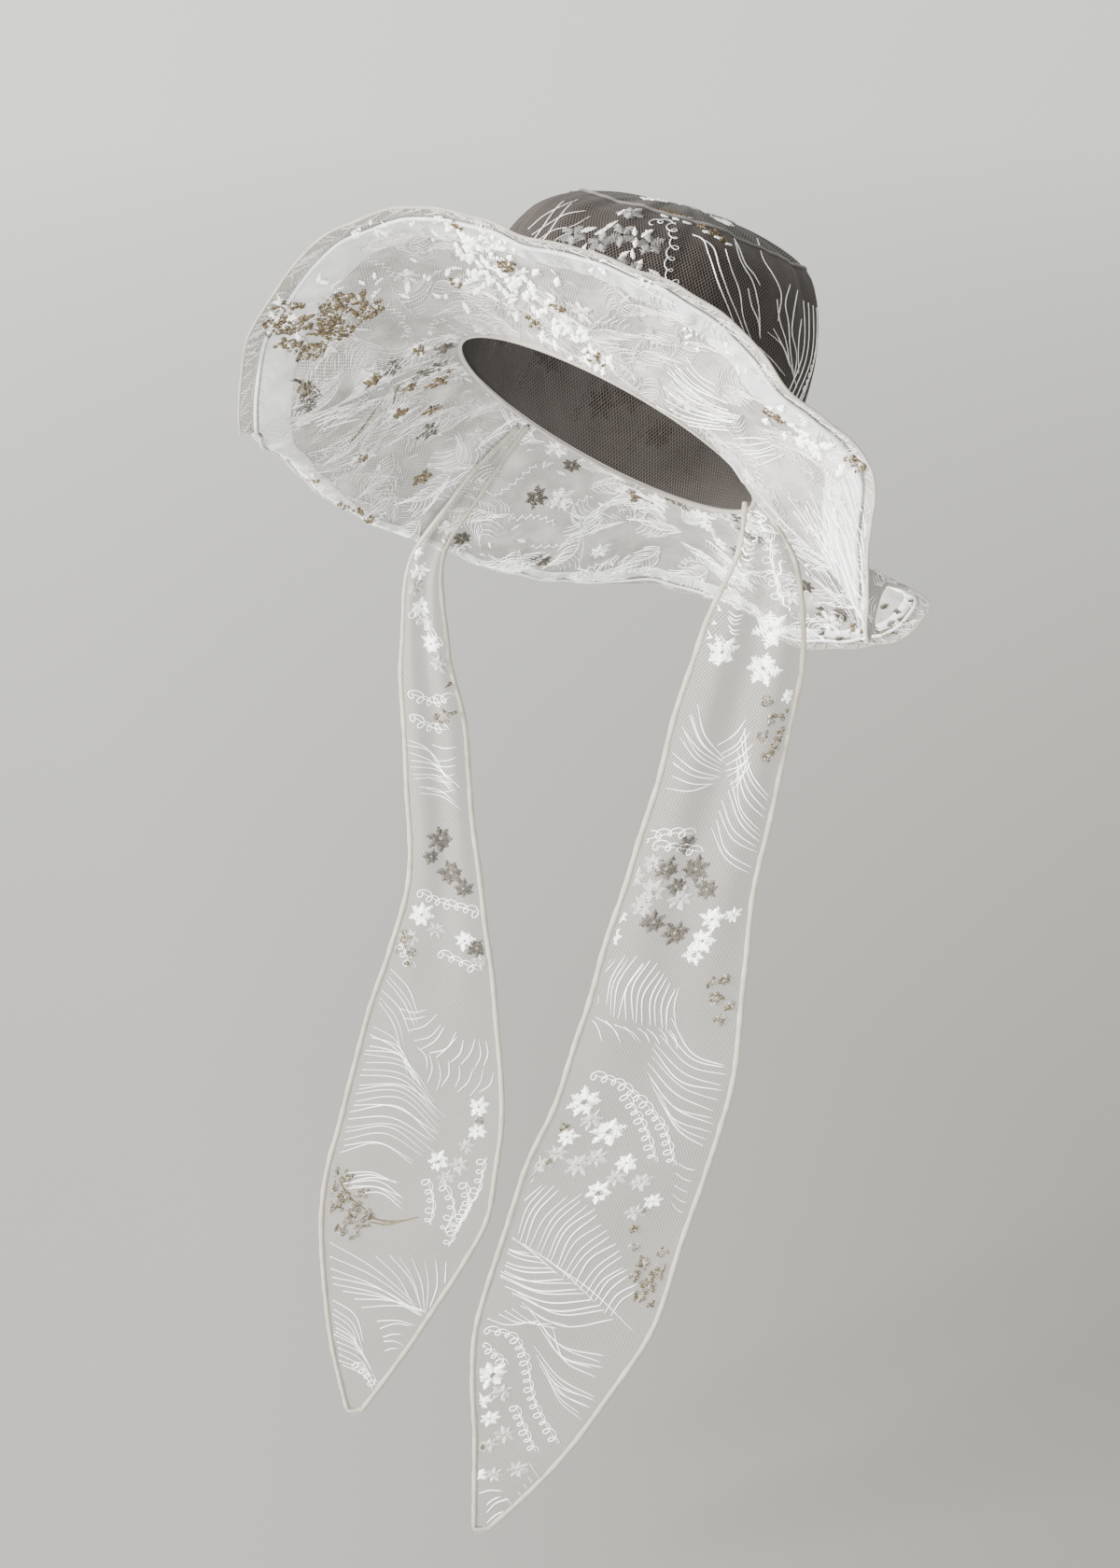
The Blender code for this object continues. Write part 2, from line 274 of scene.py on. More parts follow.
def tilted_axes(pitch):
    """Directions of an oval tilted back: to the wearer's left, forward and up."""
    tilt = radians(pitch)
    roll = radians(OPENING_ROLL)
    forward = np.array((0, -cos(tilt), sin(tilt)))
    straight_up = np.array((0, sin(tilt), cos(tilt)))
    left = np.array((1.0, 0, 0))
    side = left * cos(roll) - straight_up * sin(roll)
    up = straight_up * cos(roll) + left * sin(roll)
    return side, forward, up


print("brim reaches", round(round_value(BRIM_FOLDS, "reach", 30), 1), "mm at 30 degrees")

# %% [markdown]
# ## A cloth that thread can be sewn on
# Every part of the hat is one cloth: a fine grid of points with a direction that faces out of
# the cloth. The cloth also knows its flat pattern, in millimetres, as it was cut. A motif is
# drawn on the flat pattern and then carried to its place on the hat, so that it keeps its size
# on every fold. Sculpting each motif in place would take far longer.

# %% Cloth


class Cloth:
    """Points (rows, columns, 3) in metres: a row at each share a, a column at each share b."""

    def __init__(self, points, closed, facing, to_flat, from_flat):
        self.points = points
        self.closed = closed
        self.to_flat = to_flat
        self.from_flat = from_flat
        if closed:
            along_a = np.roll(points, -1, axis=0) - np.roll(points, 1, axis=0)
        else:
            along_a = np.gradient(points, axis=0)
        along_b = np.gradient(points, axis=1)
        normals = np.cross(along_a, along_b)
        normals /= np.maximum(np.linalg.norm(normals, axis=2, keepdims=True), 1e-12)
        if (normals * facing(points)).sum() < 0:
            normals = -normals
        self.normals = normals
        self.tree = None

    def read(self, array, a, b):
        """Values of a grid at shares a and b, which may be arrays."""
        rows, columns = array.shape[:2]
        a = np.asarray(a, float)
        b = np.clip(np.asarray(b, float), 0, 1) * (columns - 1)
        a = (a % 1.0) * rows if self.closed else np.clip(a, 0, 1) * (rows - 1)
        i = np.floor(a).astype(int)
        j = np.minimum(np.floor(b).astype(int), columns - 2)
        if not self.closed:
            i = np.minimum(i, rows - 2)
        u, v = (a - i)[..., None], (b - j)[..., None]
        i, k = i % rows, (i + 1) % rows
        low = array[i, j] * (1 - u) + array[k, j] * u
        high = array[i, j + 1] * (1 - u) + array[k, j + 1] * u
        return low * (1 - v) + high * v

    def at(self, a, b, above=0.0):
        """Points at shares a and b, moved out of the cloth by some millimetres."""
        above = np.asarray(above, float)[..., None] * MM
        return self.read(self.points, a, b) + self.facing(a, b) * above

    def facing(self, a, b):
        """Directions out of the cloth at shares a and b."""
        normals = self.read(self.normals, a, b)
        return normals / np.maximum(np.linalg.norm(normals, axis=-1, keepdims=True), 1e-12)

    def seen_at(self, x, y):
        """Flat place where the camera sees this cloth at a pixel of the photograph, or None."""
        rows, columns = self.points.shape[:2]
        if self.tree is None:
            index = np.arange(rows * columns).reshape(rows, columns)
            low = index if self.closed else index[:-1]
            high = np.roll(index, -1, axis=0) if self.closed else index[1:]
            faces = np.stack([low[:, :-1], high[:, :-1], high[:, 1:], low[:, 1:]], -1)
            corners = [Vector(p) for p in self.points.reshape(-1, 3)]
            self.tree = BVHTree.FromPolygons(corners, faces.reshape(-1, 4).tolist())
        hit, _, face, _ = self.tree.ray_cast(*pixel_ray(x, y))
        if hit is None:
            return None
        i, j = divmod(face, columns - 1)
        k = (i + 1) % rows
        corner, end_a, end_b = self.points[i, j], self.points[k, j], self.points[i, j + 1]
        sides = np.stack([end_a - corner, end_b - corner], 1)
        u, v = np.linalg.lstsq(sides, np.array(hit) - corner, rcond=None)[0]
        a = (i + u) / (rows if self.closed else rows - 1)
        return np.array(self.to_flat(a, (j + v) / (columns - 1)))


print("cloth ready")

# %% [markdown]
# ## The brim's surface
# The brim is a flat ring of lace that waves and droops. A ring cut flat has its pattern in
# a plane, so its flat places are measured from the middle of the head opening. Small ripples
# on top of the large folds come from the hem, which pulls soft lace a little tight.

# %% Brim surface
BRIM_TURNS = 720
BRIM_OUTS = 96
RIPPLES = ((9, 1.1, 1.3), (17, 0.8, 0.2), (29, 0.55, 2.2), (47, 0.35, 4.0))
CRUMPLES = ((7, 5, 1.0, 0.4), (13, -7, 0.8, 1.7), (21, 9, 0.5, 3.1), (34, -13, 0.3, 0.9))
OPENING_RADIUS = 91.0


def rim_ripple(turn):
    """How far the hem's ripples lift the rim, in millimetres."""
    return sum(size * sin(waves * radians(turn) + start) for waves, size, start in RIPPLES)


def brim_grid():
    """The brim's middle surface from the head opening to the rim."""
    side, forward, up = tilted_axes(OPENING_PITCH)
    outs = np.linspace(0.0, 1.0, BRIM_OUTS)
    arch = 4 * outs * (1 - outs)
    wave = CURL_SHARE * arch * (2 * outs - 1)
    lines = []
    for turn in np.arange(BRIM_TURNS) * 360 / BRIM_TURNS:
        reach, lift, bow, curl = (round_value(BRIM_FOLDS, c, turn) for c in Fold._fields[1:])
        angle = radians(turn)
        crumple = sum(size * np.sin(n * angle + m * outs + start) for n, m, size, start in CRUMPLES)
        rise = lift * outs + bow * arch + curl * wave + rim_ripple(turn) * outs**2 + crumple * arch
        edge = side * OPENING_HALF_WIDTH * sin(angle) + forward * OPENING_HALF_DEPTH * cos(angle)
        away = side * sin(angle) + forward * cos(angle)
        lines.append(edge + np.outer(reach * outs, away) + np.outer(rise, up))
    return np.array(lines) * MM


def ring_to_flat(a, b):
    """Flat place on the ring as it was cut."""
    radius = OPENING_RADIUS + BRIM_WIDTH * b
    return radius * np.sin(2 * pi * a), radius * np.cos(2 * pi * a)


def ring_from_flat(x, y):
    """Shares round and out of a flat place on the ring."""
    return np.arctan2(x, y) / (2 * pi) % 1.0, (np.hypot(x, y) - OPENING_RADIUS) / BRIM_WIDTH


brim = Cloth(brim_grid(), True, lambda p: tilted_axes(OPENING_PITCH)[2], ring_to_flat, ring_from_flat)
print("brim grid", brim.points.shape)

# %% [markdown]
# ## The crown's surfaces
# The crown is two cuts: a band that stands up from the opening and a round tip sewn to it.
# Lace this soft never stands quite even, so each oval is puckered by a few slow waves.

# %% Crown surfaces
CROWN_TURNS = 480
BAND_RINGS = 84
TIP_RINGS = 60
BAND_RADIUS = 90.0
PUCKERS = ((5, 1.1, 0.4), (11, 0.7, 1.9), (19, 0.45, 0.8), (37, 0.25, 3.0))


def crown_grid(climbs):
    """Rings of the crown's cloth at several distances up it, in millimetres."""
    rings = []
    angles = np.arange(CROWN_TURNS) * 2 * pi / CROWN_TURNS
    for climb in climbs:
        half_width, half_depth, aside, back, height, pitch = (
            open_value(CROWN_OVALS, c, "climb", climb) for c in Oval._fields[1:]
        )
        side, forward, up = tilted_axes(pitch)
        share = min(climb / CROWN_SEAM, (CROWN_TOP - climb) / (CROWN_TOP - CROWN_SEAM))
        puckers = sum(size * np.sin(n * angles + start + climb / 30) for n, size, start in PUCKERS)
        grow = 1 + puckers * share / BAND_RADIUS
        ring = np.outer(np.sin(angles) * half_width * grow, side)
        ring += np.outer(np.cos(angles) * half_depth * grow, forward)
        sag = np.outer(0.5 * puckers * share, up)
        rings.append(ring + sag + np.array((aside, back, height)))
    return np.swapaxes(np.array(rings), 0, 1) * MM


def away_from_crown(points):
    """Directions from the crown's middle to points on it."""
    return points - points.mean(axis=(0, 1)) * np.array((1, 1, 0.6))


def band_to_flat(a, b):
    """Flat place on the band: round it and up it."""
    return 2 * pi * BAND_RADIUS * a, CROWN_START + (CROWN_SEAM - CROWN_START) * b


def band_from_flat(x, y):
    """Shares round and up of a flat place on the band."""
    return x / (2 * pi * BAND_RADIUS) % 1.0, (y - CROWN_START) / (CROWN_SEAM - CROWN_START)


def tip_to_flat(a, b):
    """Flat place on the tip, measured from its middle."""
    radius = (CROWN_TOP - CROWN_SEAM) * (1 - b)
    return radius * np.sin(2 * pi * a), radius * np.cos(2 * pi * a)


def tip_from_flat(x, y):
    """Shares round and in of a flat place on the tip."""
    return np.arctan2(x, y) / (2 * pi) % 1.0, 1 - np.hypot(x, y) / (CROWN_TOP - CROWN_SEAM)


band_climbs = np.linspace(CROWN_START, CROWN_SEAM, BAND_RINGS)
tip_climbs = np.linspace(CROWN_SEAM, CROWN_TOP, TIP_RINGS)
band = Cloth(crown_grid(band_climbs), True, away_from_crown, band_to_flat, band_from_flat)
tip = Cloth(crown_grid(tip_climbs), True, away_from_crown, tip_to_flat, tip_from_flat)
print("crown grids", band.points.shape, tip.points.shape)

# %% [markdown]
# ## The ties' surfaces
# Each tie is a straight strip with a slanted point. At the top it is gathered into two soft
# pleats, so it is narrow there, and lower down it opens to its full width.

# %% Tie surfaces
TIE_ACROSS = 41
TIE_ALONG = 300


def tie_row(rows, along):
    """The strip's row at a share of its height, 0 at the root and 1 at the point."""
    height = rows[0].height + (rows[-1].height - rows[0].height) * along
    return Strip(height, *(open_value(rows, c, "height", height) for c in Strip._fields[1:]))


def tie_span(rows, along, inset):
    """How far the strip reaches to both sides of its middle, with its slanted edges drawn in."""
    row = tie_row(rows, along)
    before = tie_row(rows, max(along - SLANT_REACH, 0.0))
    after = tie_row(rows, min(along + SLANT_REACH, 1.0))
    moved = np.array((after.aside - before.aside, after.back - before.back, after.height - before.height))
    drift = moved[0] * cos(radians(row.turn)) + moved[1] * sin(radians(row.turn))
    run = sqrt((moved**2).sum() - drift**2)
    spans = []
    for side in (-1, 1):
        slant = (drift + side * (after.width - before.width) / 2) / run
        spans.append(side * (row.width / 2 - inset * sqrt(1 + slant**2)))
    return spans


def make_tie_cloth(name, rows, ripple_start):
    """A strip's surface between the middles of its rolled edges."""
    shares = np.linspace(0.0, 1.0, TIE_ALONG)
    lines, widths = [], []
    for along in shares:
        row = tie_row(rows, along)
        low, high = tie_span(rows, along, TIE_EDGE)
        low += 0.6 * sin(along * 61 + ripple_start) * (1 - along)
        high += 0.6 * sin(along * 53 + 2 * ripple_start) * (1 - along)
        high = max(high, low + 0.5)
        reach = np.linspace(low, high, TIE_ACROSS)
        angle = radians(row.turn)
        depth = row.pleat * (1 - np.cos(4 * pi * reach / row.width)) / 2
        depth += 0.9 * np.sin(reach / 13 + along * 21 + ripple_start) * min(1.0, along * 3)
        depth += 0.5 * np.sin(along * 63 + ripple_start + reach / 31)
        middle = np.array((row.aside, row.back, row.height))
        line = middle + np.outer(reach, (cos(angle), sin(angle), 0))
        lines.append(line + np.outer(depth, (sin(angle), -cos(angle), 0)))
        widths.append(high - low)
    points = np.swapaxes(np.array(lines), 0, 1) * MM
    centre = points[TIE_ACROSS // 2]
    steps = np.linalg.norm(np.diff(centre, axis=0), axis=1) / MM
    down = np.concatenate([[0.0], np.cumsum(steps)])

    def to_flat(a, b):
        return (a - 0.5) * np.interp(b, shares, widths), np.interp(b, shares, down)

    def from_flat(x, y):
        b = np.interp(y, down, shares)
        b = np.where(np.asarray(y) > down[-1], 1.1, np.where(np.asarray(y) < 0, -0.1, b))
        return x / np.interp(b, shares, widths) + 0.5, b

    toward_front = np.array((0.5, -1.0, 0.0))
    print(name, "is", round(down[-1]), "mm long")
    return Cloth(points, False, lambda p: toward_front, to_flat, from_flat)


tie_left = make_tie_cloth("tie_left", LEFT_TIE, 0.3)
tie_right = make_tie_cloth("tie_right", RIGHT_TIE, 2.1)

# %% [markdown]
# ## Shader maths as Python
# A finish is a small network of nodes. Wiring each node by hand hides the sum that it does,
# so one class wraps an output socket and lets plain Python operators add the Math nodes.
# Everything else goes through one method that takes the node's type, its settings and its
# sockets.

# %% Node helpers


class Value:
    """A node's output; an expression on it adds Math nodes to the same finish."""

    def __init__(self, finish, socket):
        self.finish = finish
        self.socket = socket

    def math(self, operation, first, second=None):
        inputs = {0: first} if second is None else {0: first, 1: second}
        return self.finish.node("ShaderNodeMath", {"operation": operation}, inputs)

    def __add__(self, other):
        return self.math("ADD", self, other)

    def __radd__(self, other):
        return self.math("ADD", other, self)

    def __sub__(self, other):
        return self.math("SUBTRACT", self, other)

    def __rsub__(self, other):
        return self.math("SUBTRACT", other, self)

    def __mul__(self, other):
        return self.math("MULTIPLY", self, other)

    def __truediv__(self, other):
        return self.math("DIVIDE", self, other)

    def __abs__(self):
        return self.math("ABSOLUTE", self)

    def wave(self):
        return self.math("SINE", self)

    def most(self, other):
        return self.math("MAXIMUM", self, other)

    def kept(self):
        return self.math("MINIMUM", self.math("MAXIMUM", self, 0.0), 1.0)


class Finish:
    """A named material with one Principled shader and the nodes that feed it."""

    def __init__(self, name, colour, **constants):
        self.material = bpy.data.materials.new(name)
        self.material.use_nodes = True
        self.tree = self.material.node_tree
        self.shader = self.tree.nodes["Principled BSDF"]
        self.shader.inputs["Base Color"].default_value = (*colour, 1.0)
        for socket, value in constants.items():
            self.shader.inputs[socket.replace("_", " ")].default_value = value
        self.material.diffuse_color = (*colour, 1.0)

    def feed(self, socket, value):
        """Give a socket a link or a number."""
        if isinstance(value, Value):
            self.tree.links.new(value.socket, socket)
        else:
            socket.default_value = value

    def node(self, kind, settings=None, inputs=None, output=0):
        """Add a node: its settings first, then its sockets; returns one output."""
        node = self.tree.nodes.new(kind)
        for setting, value in (settings or {}).items():
            setattr(node, setting, value)
        for socket, value in (inputs or {}).items():
            self.feed(node.inputs[socket], value)
        return Value(self, node.outputs[output])

    def mix(self, share, first, second):
        """A colour between two colours."""
        return self.node("ShaderNodeMix", {"data_type": "RGBA"}, {0: share, 6: first, 7: second}, 2)

    def noise(self, scale, detail):
        """Soft noise from 0 to 1, in the object's own space."""
        place = self.node("ShaderNodeTexCoord", output=3)
        return self.node("ShaderNodeTexNoise", None, {"Vector": place, "Scale": scale, "Detail": detail})

    def flat_place(self):
        """The two flat coordinates of the cloth, in millimetres."""
        return self.split(self.node("ShaderNodeUVMap", {"uv_map": "flat"}))

    def split(self, place):
        """The first two coordinates of a place."""
        parts = self.tree.nodes.new("ShaderNodeSeparateXYZ")
        self.feed(parts.inputs[0], place)
        return Value(self, parts.outputs[0]), Value(self, parts.outputs[1])

    def drive(self, **sockets):
        """Link values to the shader's sockets."""
        for socket, value in sockets.items():
            self.feed(self.shader.inputs[socket.replace("_", " ")], value)

    def bump(self, height, depth):
        """Raise the surface by a height from 0 to 1, a depth in metres."""
        bump = self.node("ShaderNodeBump", None, {"Height": height, "Distance": depth})
        self.drive(Normal=bump)


print("node helpers ready")

# %% [markdown]
# ## Net
# Tulle is a mesh of fine thread in diamonds between one and two millimetres wide. Real threads
# by the hundred thousand would be too much geometry, so the mesh is drawn as two sets of slanted
# lines on the flat pattern, and the holes between them are let through with Alpha. A ground
# colour between the threads stands for the finer lining under the lace, and noise makes it
# thicker in some patches and thinner in others.

# %% Net finish
NET_SLOPE = 0.62
WOBBLE_SCALE = 90.0
CLOUD_SCALE = 26.0
PATCH_SCALE = 48.0
CRUMPLE_SCALE = 70.0


def net_finish(name, thread, ground, ground_cover, patchy, pitch, thickness, sheen, crumple):
    """Net of one thread colour over a sheer ground that covers a share of what is behind."""
    net = Finish(name, thread, Roughness=0.7, Sheen_Weight=sheen, Sheen_Roughness=0.4,
                 Specular_IOR_Level=0.08)
    x, y = net.flat_place()
    wobble = net.noise(WOBBLE_SCALE, 1.0) * 1.2
    turn = pi / pitch
    rising = abs(((x + y * NET_SLOPE) * turn + wobble).wave())
    falling = abs(((x - y * NET_SLOPE) * turn - wobble).wave())
    edge = 1 - thickness
    threads = ((1 - rising).most(1 - falling) - edge) / thickness
    mask = (threads * 2.2).kept()
    cloud = net.noise(CLOUD_SCALE, 3.0)
    cover = (ground_cover + (cloud - 0.5) * patchy).kept()
    patch = ((net.noise(PATCH_SCALE, 4.0) - 0.42) * 4.0 * patchy).kept() * 0.75
    colour = net.mix(mask.most(patch), (*ground, 1.0), (*thread, 1.0))
    net.drive(Base_Color=colour, Alpha=(cover + mask * 0.8).kept())
    net.bump(mask * 0.08 + net.noise(CRUMPLE_SCALE, 2.0), crumple)
    return net.material


# The crown's dark ground between the threads is painted shade of the hollow inside it, with the hair that
# filled it.
CROWN_SHADED_FINISH = net_finish("crown_net", (0.072, 0.062, 0.055), (0.006, 0.0045, 0.004),
                          ground_cover=0.95, patchy=0.12, pitch=1.8,
                          thickness=0.42, sheen=0.02, crumple=0.0012)
SEAM_FINISH = net_finish("crown_seam_net", (0.13, 0.122, 0.112), (0.05, 0.045, 0.04),
                         ground_cover=0.9, patchy=0.2, pitch=1.35,
                         thickness=0.42, sheen=0.2, crumple=0.0006)
BRIM_UNDER_FINISH = net_finish("brim_lining", (0.43, 0.415, 0.388), (0.155, 0.147, 0.133),
                               ground_cover=0.84, patchy=1.0, pitch=1.5,
                               thickness=0.42, sheen=0.1, crumple=0.003)
BRIM_OVER_FINISH = net_finish("brim_lace", (0.38, 0.366, 0.343), (0.20, 0.191, 0.175),
                              ground_cover=0.62, patchy=0.9, pitch=1.5,
                              thickness=0.42, sheen=0.1, crumple=0.003)
HEM_FINISH = net_finish("hem_lace", (0.33, 0.313, 0.282), (0.19, 0.178, 0.155),
                        ground_cover=0.6, patchy=0.4, pitch=1.3,
                        thickness=0.45, sheen=0.1, crumple=0.001)
TIE_FINISH = net_finish("tie_net", (0.30, 0.286, 0.254), (0.20, 0.188, 0.16),
                        ground_cover=0.10, patchy=0.1, pitch=1.7,
                        thickness=0.22, sheen=0.05, crumple=0.0006)
print("net finishes made")

# %% [markdown]
# ## Thread, satin and rolled edges
# Embroidery thread is bright where it lies along the light, so it is smooth, and all but the
# darkest threads have a little sheen. A fine noise breaks it up as twisted strands do. Satin is
# as smooth, with long soft wrinkles. The rolled edges are plain tape with a faint ribbed weave.

# %% Thread and cloth finishes


def thread_finish(name, bright, dull, roughness, metallic=0.0, strand=2600.0, sheen=0.2):
    """Embroidery thread that varies a little from stitch to stitch."""
    thread = Finish(name, bright, Roughness=roughness, Metallic=metallic, Sheen_Weight=sheen,
                    Specular_IOR_Level=0.1 + 2 * sheen)
    patches = (thread.noise(420.0, 2.0) * 1.8 - 0.4).kept()
    thread.drive(Base_Color=thread.mix(patches, (*dull, 1.0), (*bright, 1.0)))
    thread.bump(thread.noise(strand, 2.0), 0.00025)
    return thread.material


def cloth_finish(name, bright, dull, roughness, scale, depth, ribs=None):
    """Plain cloth with slow changes of tone, wrinkles and, if asked, fine ribs."""
    cloth = Finish(name, bright, Roughness=roughness, Sheen_Weight=0.3, Specular_IOR_Level=0.4)
    slow = cloth.noise(scale, 3.0)
    cloth.drive(Base_Color=cloth.mix((slow * 1.6 - 0.3).kept(), (*dull, 1.0), (*bright, 1.0)))
    height = slow
    if ribs:
        x, y = cloth.flat_place()
        height = slow * 0.6 + abs(((x + y) * (pi / ribs)).wave()) * 0.4
    cloth.bump(height, depth)
    return cloth.material


WHITE_THREAD = thread_finish("white_thread", (0.95, 0.945, 0.93), (0.78, 0.77, 0.75), 0.28)
GREY_THREAD = thread_finish("grey_thread", (0.115, 0.104, 0.087), (0.045, 0.04, 0.032), 0.45, sheen=0.0)
PALE_THREAD = thread_finish("pale_thread", (0.44, 0.424, 0.394), (0.28, 0.265, 0.24), 0.36)
GROUND_THREAD = thread_finish("ground_thread", (0.68, 0.66, 0.625), (0.38, 0.365, 0.338), 0.34)
SILVER_THREAD = thread_finish("silver_thread", (0.30, 0.291, 0.278), (0.15, 0.145, 0.137), 0.40, sheen=0.05)
GOLD_THREAD = thread_finish("gold_thread", (0.20, 0.157, 0.093), (0.030, 0.022, 0.012), 0.40,
                            metallic=0.1, strand=900.0, sheen=0.0)
SATIN = cloth_finish("satin_tape", (0.49, 0.486, 0.483), (0.26, 0.256, 0.252), 0.28,
                     scale=60.0, depth=0.0026)
ROLLED_EDGE = cloth_finish("rolled_edge", (0.33, 0.298, 0.242), (0.20, 0.176, 0.136), 0.62,
                           scale=130.0, depth=0.0006, ribs=0.9)
print("thread and cloth finishes made")

# %% [markdown]
# ## Meshes over a cloth
# Two kinds of mesh make the whole hat. A sheet is a grid that lies on the cloth or a little
# above or below it, with its flat pattern kept as a UV map for the net. A tube follows a line
# and gives the rolled edges and the cord. Both are built from arrays, which is quick, and
# curves with a bevel would give the same tube but couldn't be flattened.

# %% Sheets


def add_piece(name, mesh, material, slot, *nodes):
    """Put a finished mesh in the scene, on the hat, in place of the plain nodes named."""
    mesh.materials.append(material)
    mesh.shade_smooth()
    piece = bpy.data.objects.new(name, mesh)
    bpy.context.scene.collection.objects.link(piece)
    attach(piece, "root")
    if nodes:
        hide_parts(*nodes)
    triangles = sum(len(face.vertices) - 2 for face in mesh.polygons)
    print(f"{name}: {triangles} triangles")
    return piece


def mesh_of(name, points, faces, flat=None):
    """A mesh from arrays of points and faces; flat holds a UV for every face corner."""
    mesh = bpy.data.meshes.new(name)
    mesh.from_pydata(points.tolist(), [], faces.tolist() if hasattr(faces, "tolist") else faces)
    if flat is not None:
        layer = mesh.uv_layers.new(name="flat")
        layer.data.foreach_set("uv", np.asarray(flat, np.float32).ravel())
    mesh.update()
    return mesh


def sheet_mesh(name, cloth, a_steps, b_from, b_to, b_steps, above=0.0):
    """A grid on a cloth between two shares; b_from and above may be functions of the place."""
    rows = a_steps if cloth.closed else a_steps + 1

    def share_out(i, j):
        first = b_from(i / a_steps) if callable(b_from) else b_from
        return first + (b_to - first) * j / b_steps

    i, j = np.meshgrid(np.arange(rows), np.arange(b_steps + 1), indexing="ij")
    a, b = i / a_steps, share_out(i, j)
    lift = above(a, b) if callable(above) else np.full(a.shape, above)
    points = cloth.at(a, b, lift).reshape(-1, 3)
    i, j = np.meshgrid(np.arange(a_steps), np.arange(b_steps), indexing="ij")
    i, j = i.ravel(), j.ravel()
    corner_i = np.stack([i, i + 1, i + 1, i], 1)
    corner_j = np.stack([j, j, j + 1, j + 1], 1)
    faces = (corner_i % rows) * (b_steps + 1) + corner_j
    flat = cloth.to_flat(corner_i / a_steps, share_out(corner_i, corner_j))
    return mesh_of(name, points, faces, np.stack(flat, -1).reshape(-1, 2))


def add_sheet(name, cloth, grid, first, last, above, material, slot, *nodes):
    """Add a sheet of cloth between two shares; grid is its steps round and out."""
    mesh = sheet_mesh(name, cloth, grid[0], first, last, grid[1], above)
    return add_piece(name, mesh, material, slot, *nodes)


# %% Tubes
TUBE_SIDES = 10
RIBBON_ROUND = 7.0
RING_STEPS = 720
EDGE_INSIDE = 0.999


def tube_mesh(name, centres, facings, half_width, half_thick, closed):
    """A flattened round tube along a line; each half measure is in millimetres."""
    count = len(centres)
    if closed:
        along = np.roll(centres, -1, axis=0) - np.roll(centres, 1, axis=0)
    else:
        along = np.gradient(centres, axis=0)
    along /= np.linalg.norm(along, axis=1, keepdims=True)
    aside = np.cross(facings, along)
    aside /= np.linalg.norm(aside, axis=1, keepdims=True)
    outward = np.cross(along, aside)
    angle = np.arange(TUBE_SIDES) * 2 * pi / TUBE_SIDES
    wide = (np.asarray(half_width) * MM * np.ones(count))[:, None, None]
    thick = (np.asarray(half_thick) * MM * np.ones(count))[:, None, None]
    ring = aside[:, None] * np.cos(angle)[None, :, None] * wide
    ring = ring + outward[:, None] * np.sin(angle)[None, :, None] * thick
    points = (centres[:, None] + ring).reshape(-1, 3)
    i, k = np.meshgrid(np.arange(count if closed else count - 1), np.arange(TUBE_SIDES), indexing="ij")
    i, k = i.ravel(), k.ravel()
    corner_i = np.stack([i, i, i + 1, i + 1], 1)
    corner_k = np.stack([k, k + 1, k + 1, k], 1)
    faces = ((corner_i % count) * TUBE_SIDES + corner_k % TUBE_SIDES).tolist()
    length = np.concatenate([[0.0], np.cumsum(np.linalg.norm(np.diff(centres, axis=0), axis=1))]) / MM
    length = np.append(length, length[-1] + 1.0)
    flat = np.stack([length[corner_i], corner_k * (RIBBON_ROUND / TUBE_SIDES)], -1).reshape(-1, 2)
    if not closed:
        last = (count - 1) * TUBE_SIDES
        faces += [list(range(TUBE_SIDES))[::-1], list(range(last, last + TUBE_SIDES))]
        flat = np.concatenate([flat, np.zeros((2 * TUBE_SIDES, 2))])
    return mesh_of(name, points, faces, flat)


def add_ring(name, cloth, place, above, half_width, half_thick, material, slot, *nodes):
    """Add a closed tube round a cloth at one share out, its facing read just inside the edge."""
    around = np.arange(RING_STEPS) / RING_STEPS
    out = np.full(RING_STEPS, place)
    facings = cloth.facing(around, np.minimum(out, EDGE_INSIDE))
    mesh = tube_mesh(name, cloth.at(around, out, above), facings, half_width, half_thick, True)
    return add_piece(name, mesh, material, slot, *nodes)


print("mesh helpers ready")

# %% [markdown]
# ## Stitches as raised thread
# Embroidery is what makes this lace, and it is thick enough to catch the light, so every
# stitch is real geometry: a low ridge of thread that follows the cloth. A stitch is a line on
# the flat pattern with a width and a height. Thousands of them on one cloth are carried to
# their place in a single sum, and then made one mesh for each colour of thread.

# %% Stitch
Stitch = namedtuple("Stitch", "line width height")


def taper(count, blunt=0.35):
    """Shares of a stitch's full width along it, narrow at both ends."""
    return blunt + (1 - blunt) * np.sin(pi * np.linspace(0.04, 0.96, count))


def turned(stitches, x, y, angle, size=1.0):
    """Stitches turned and grown about their own middle and moved to a flat place."""
    turn = np.array(((cos(angle), sin(angle)), (-sin(angle), cos(angle)))) * size
    return [Stitch(s.line @ turn + (x, y), s.width * size, s.height) for s in stitches]


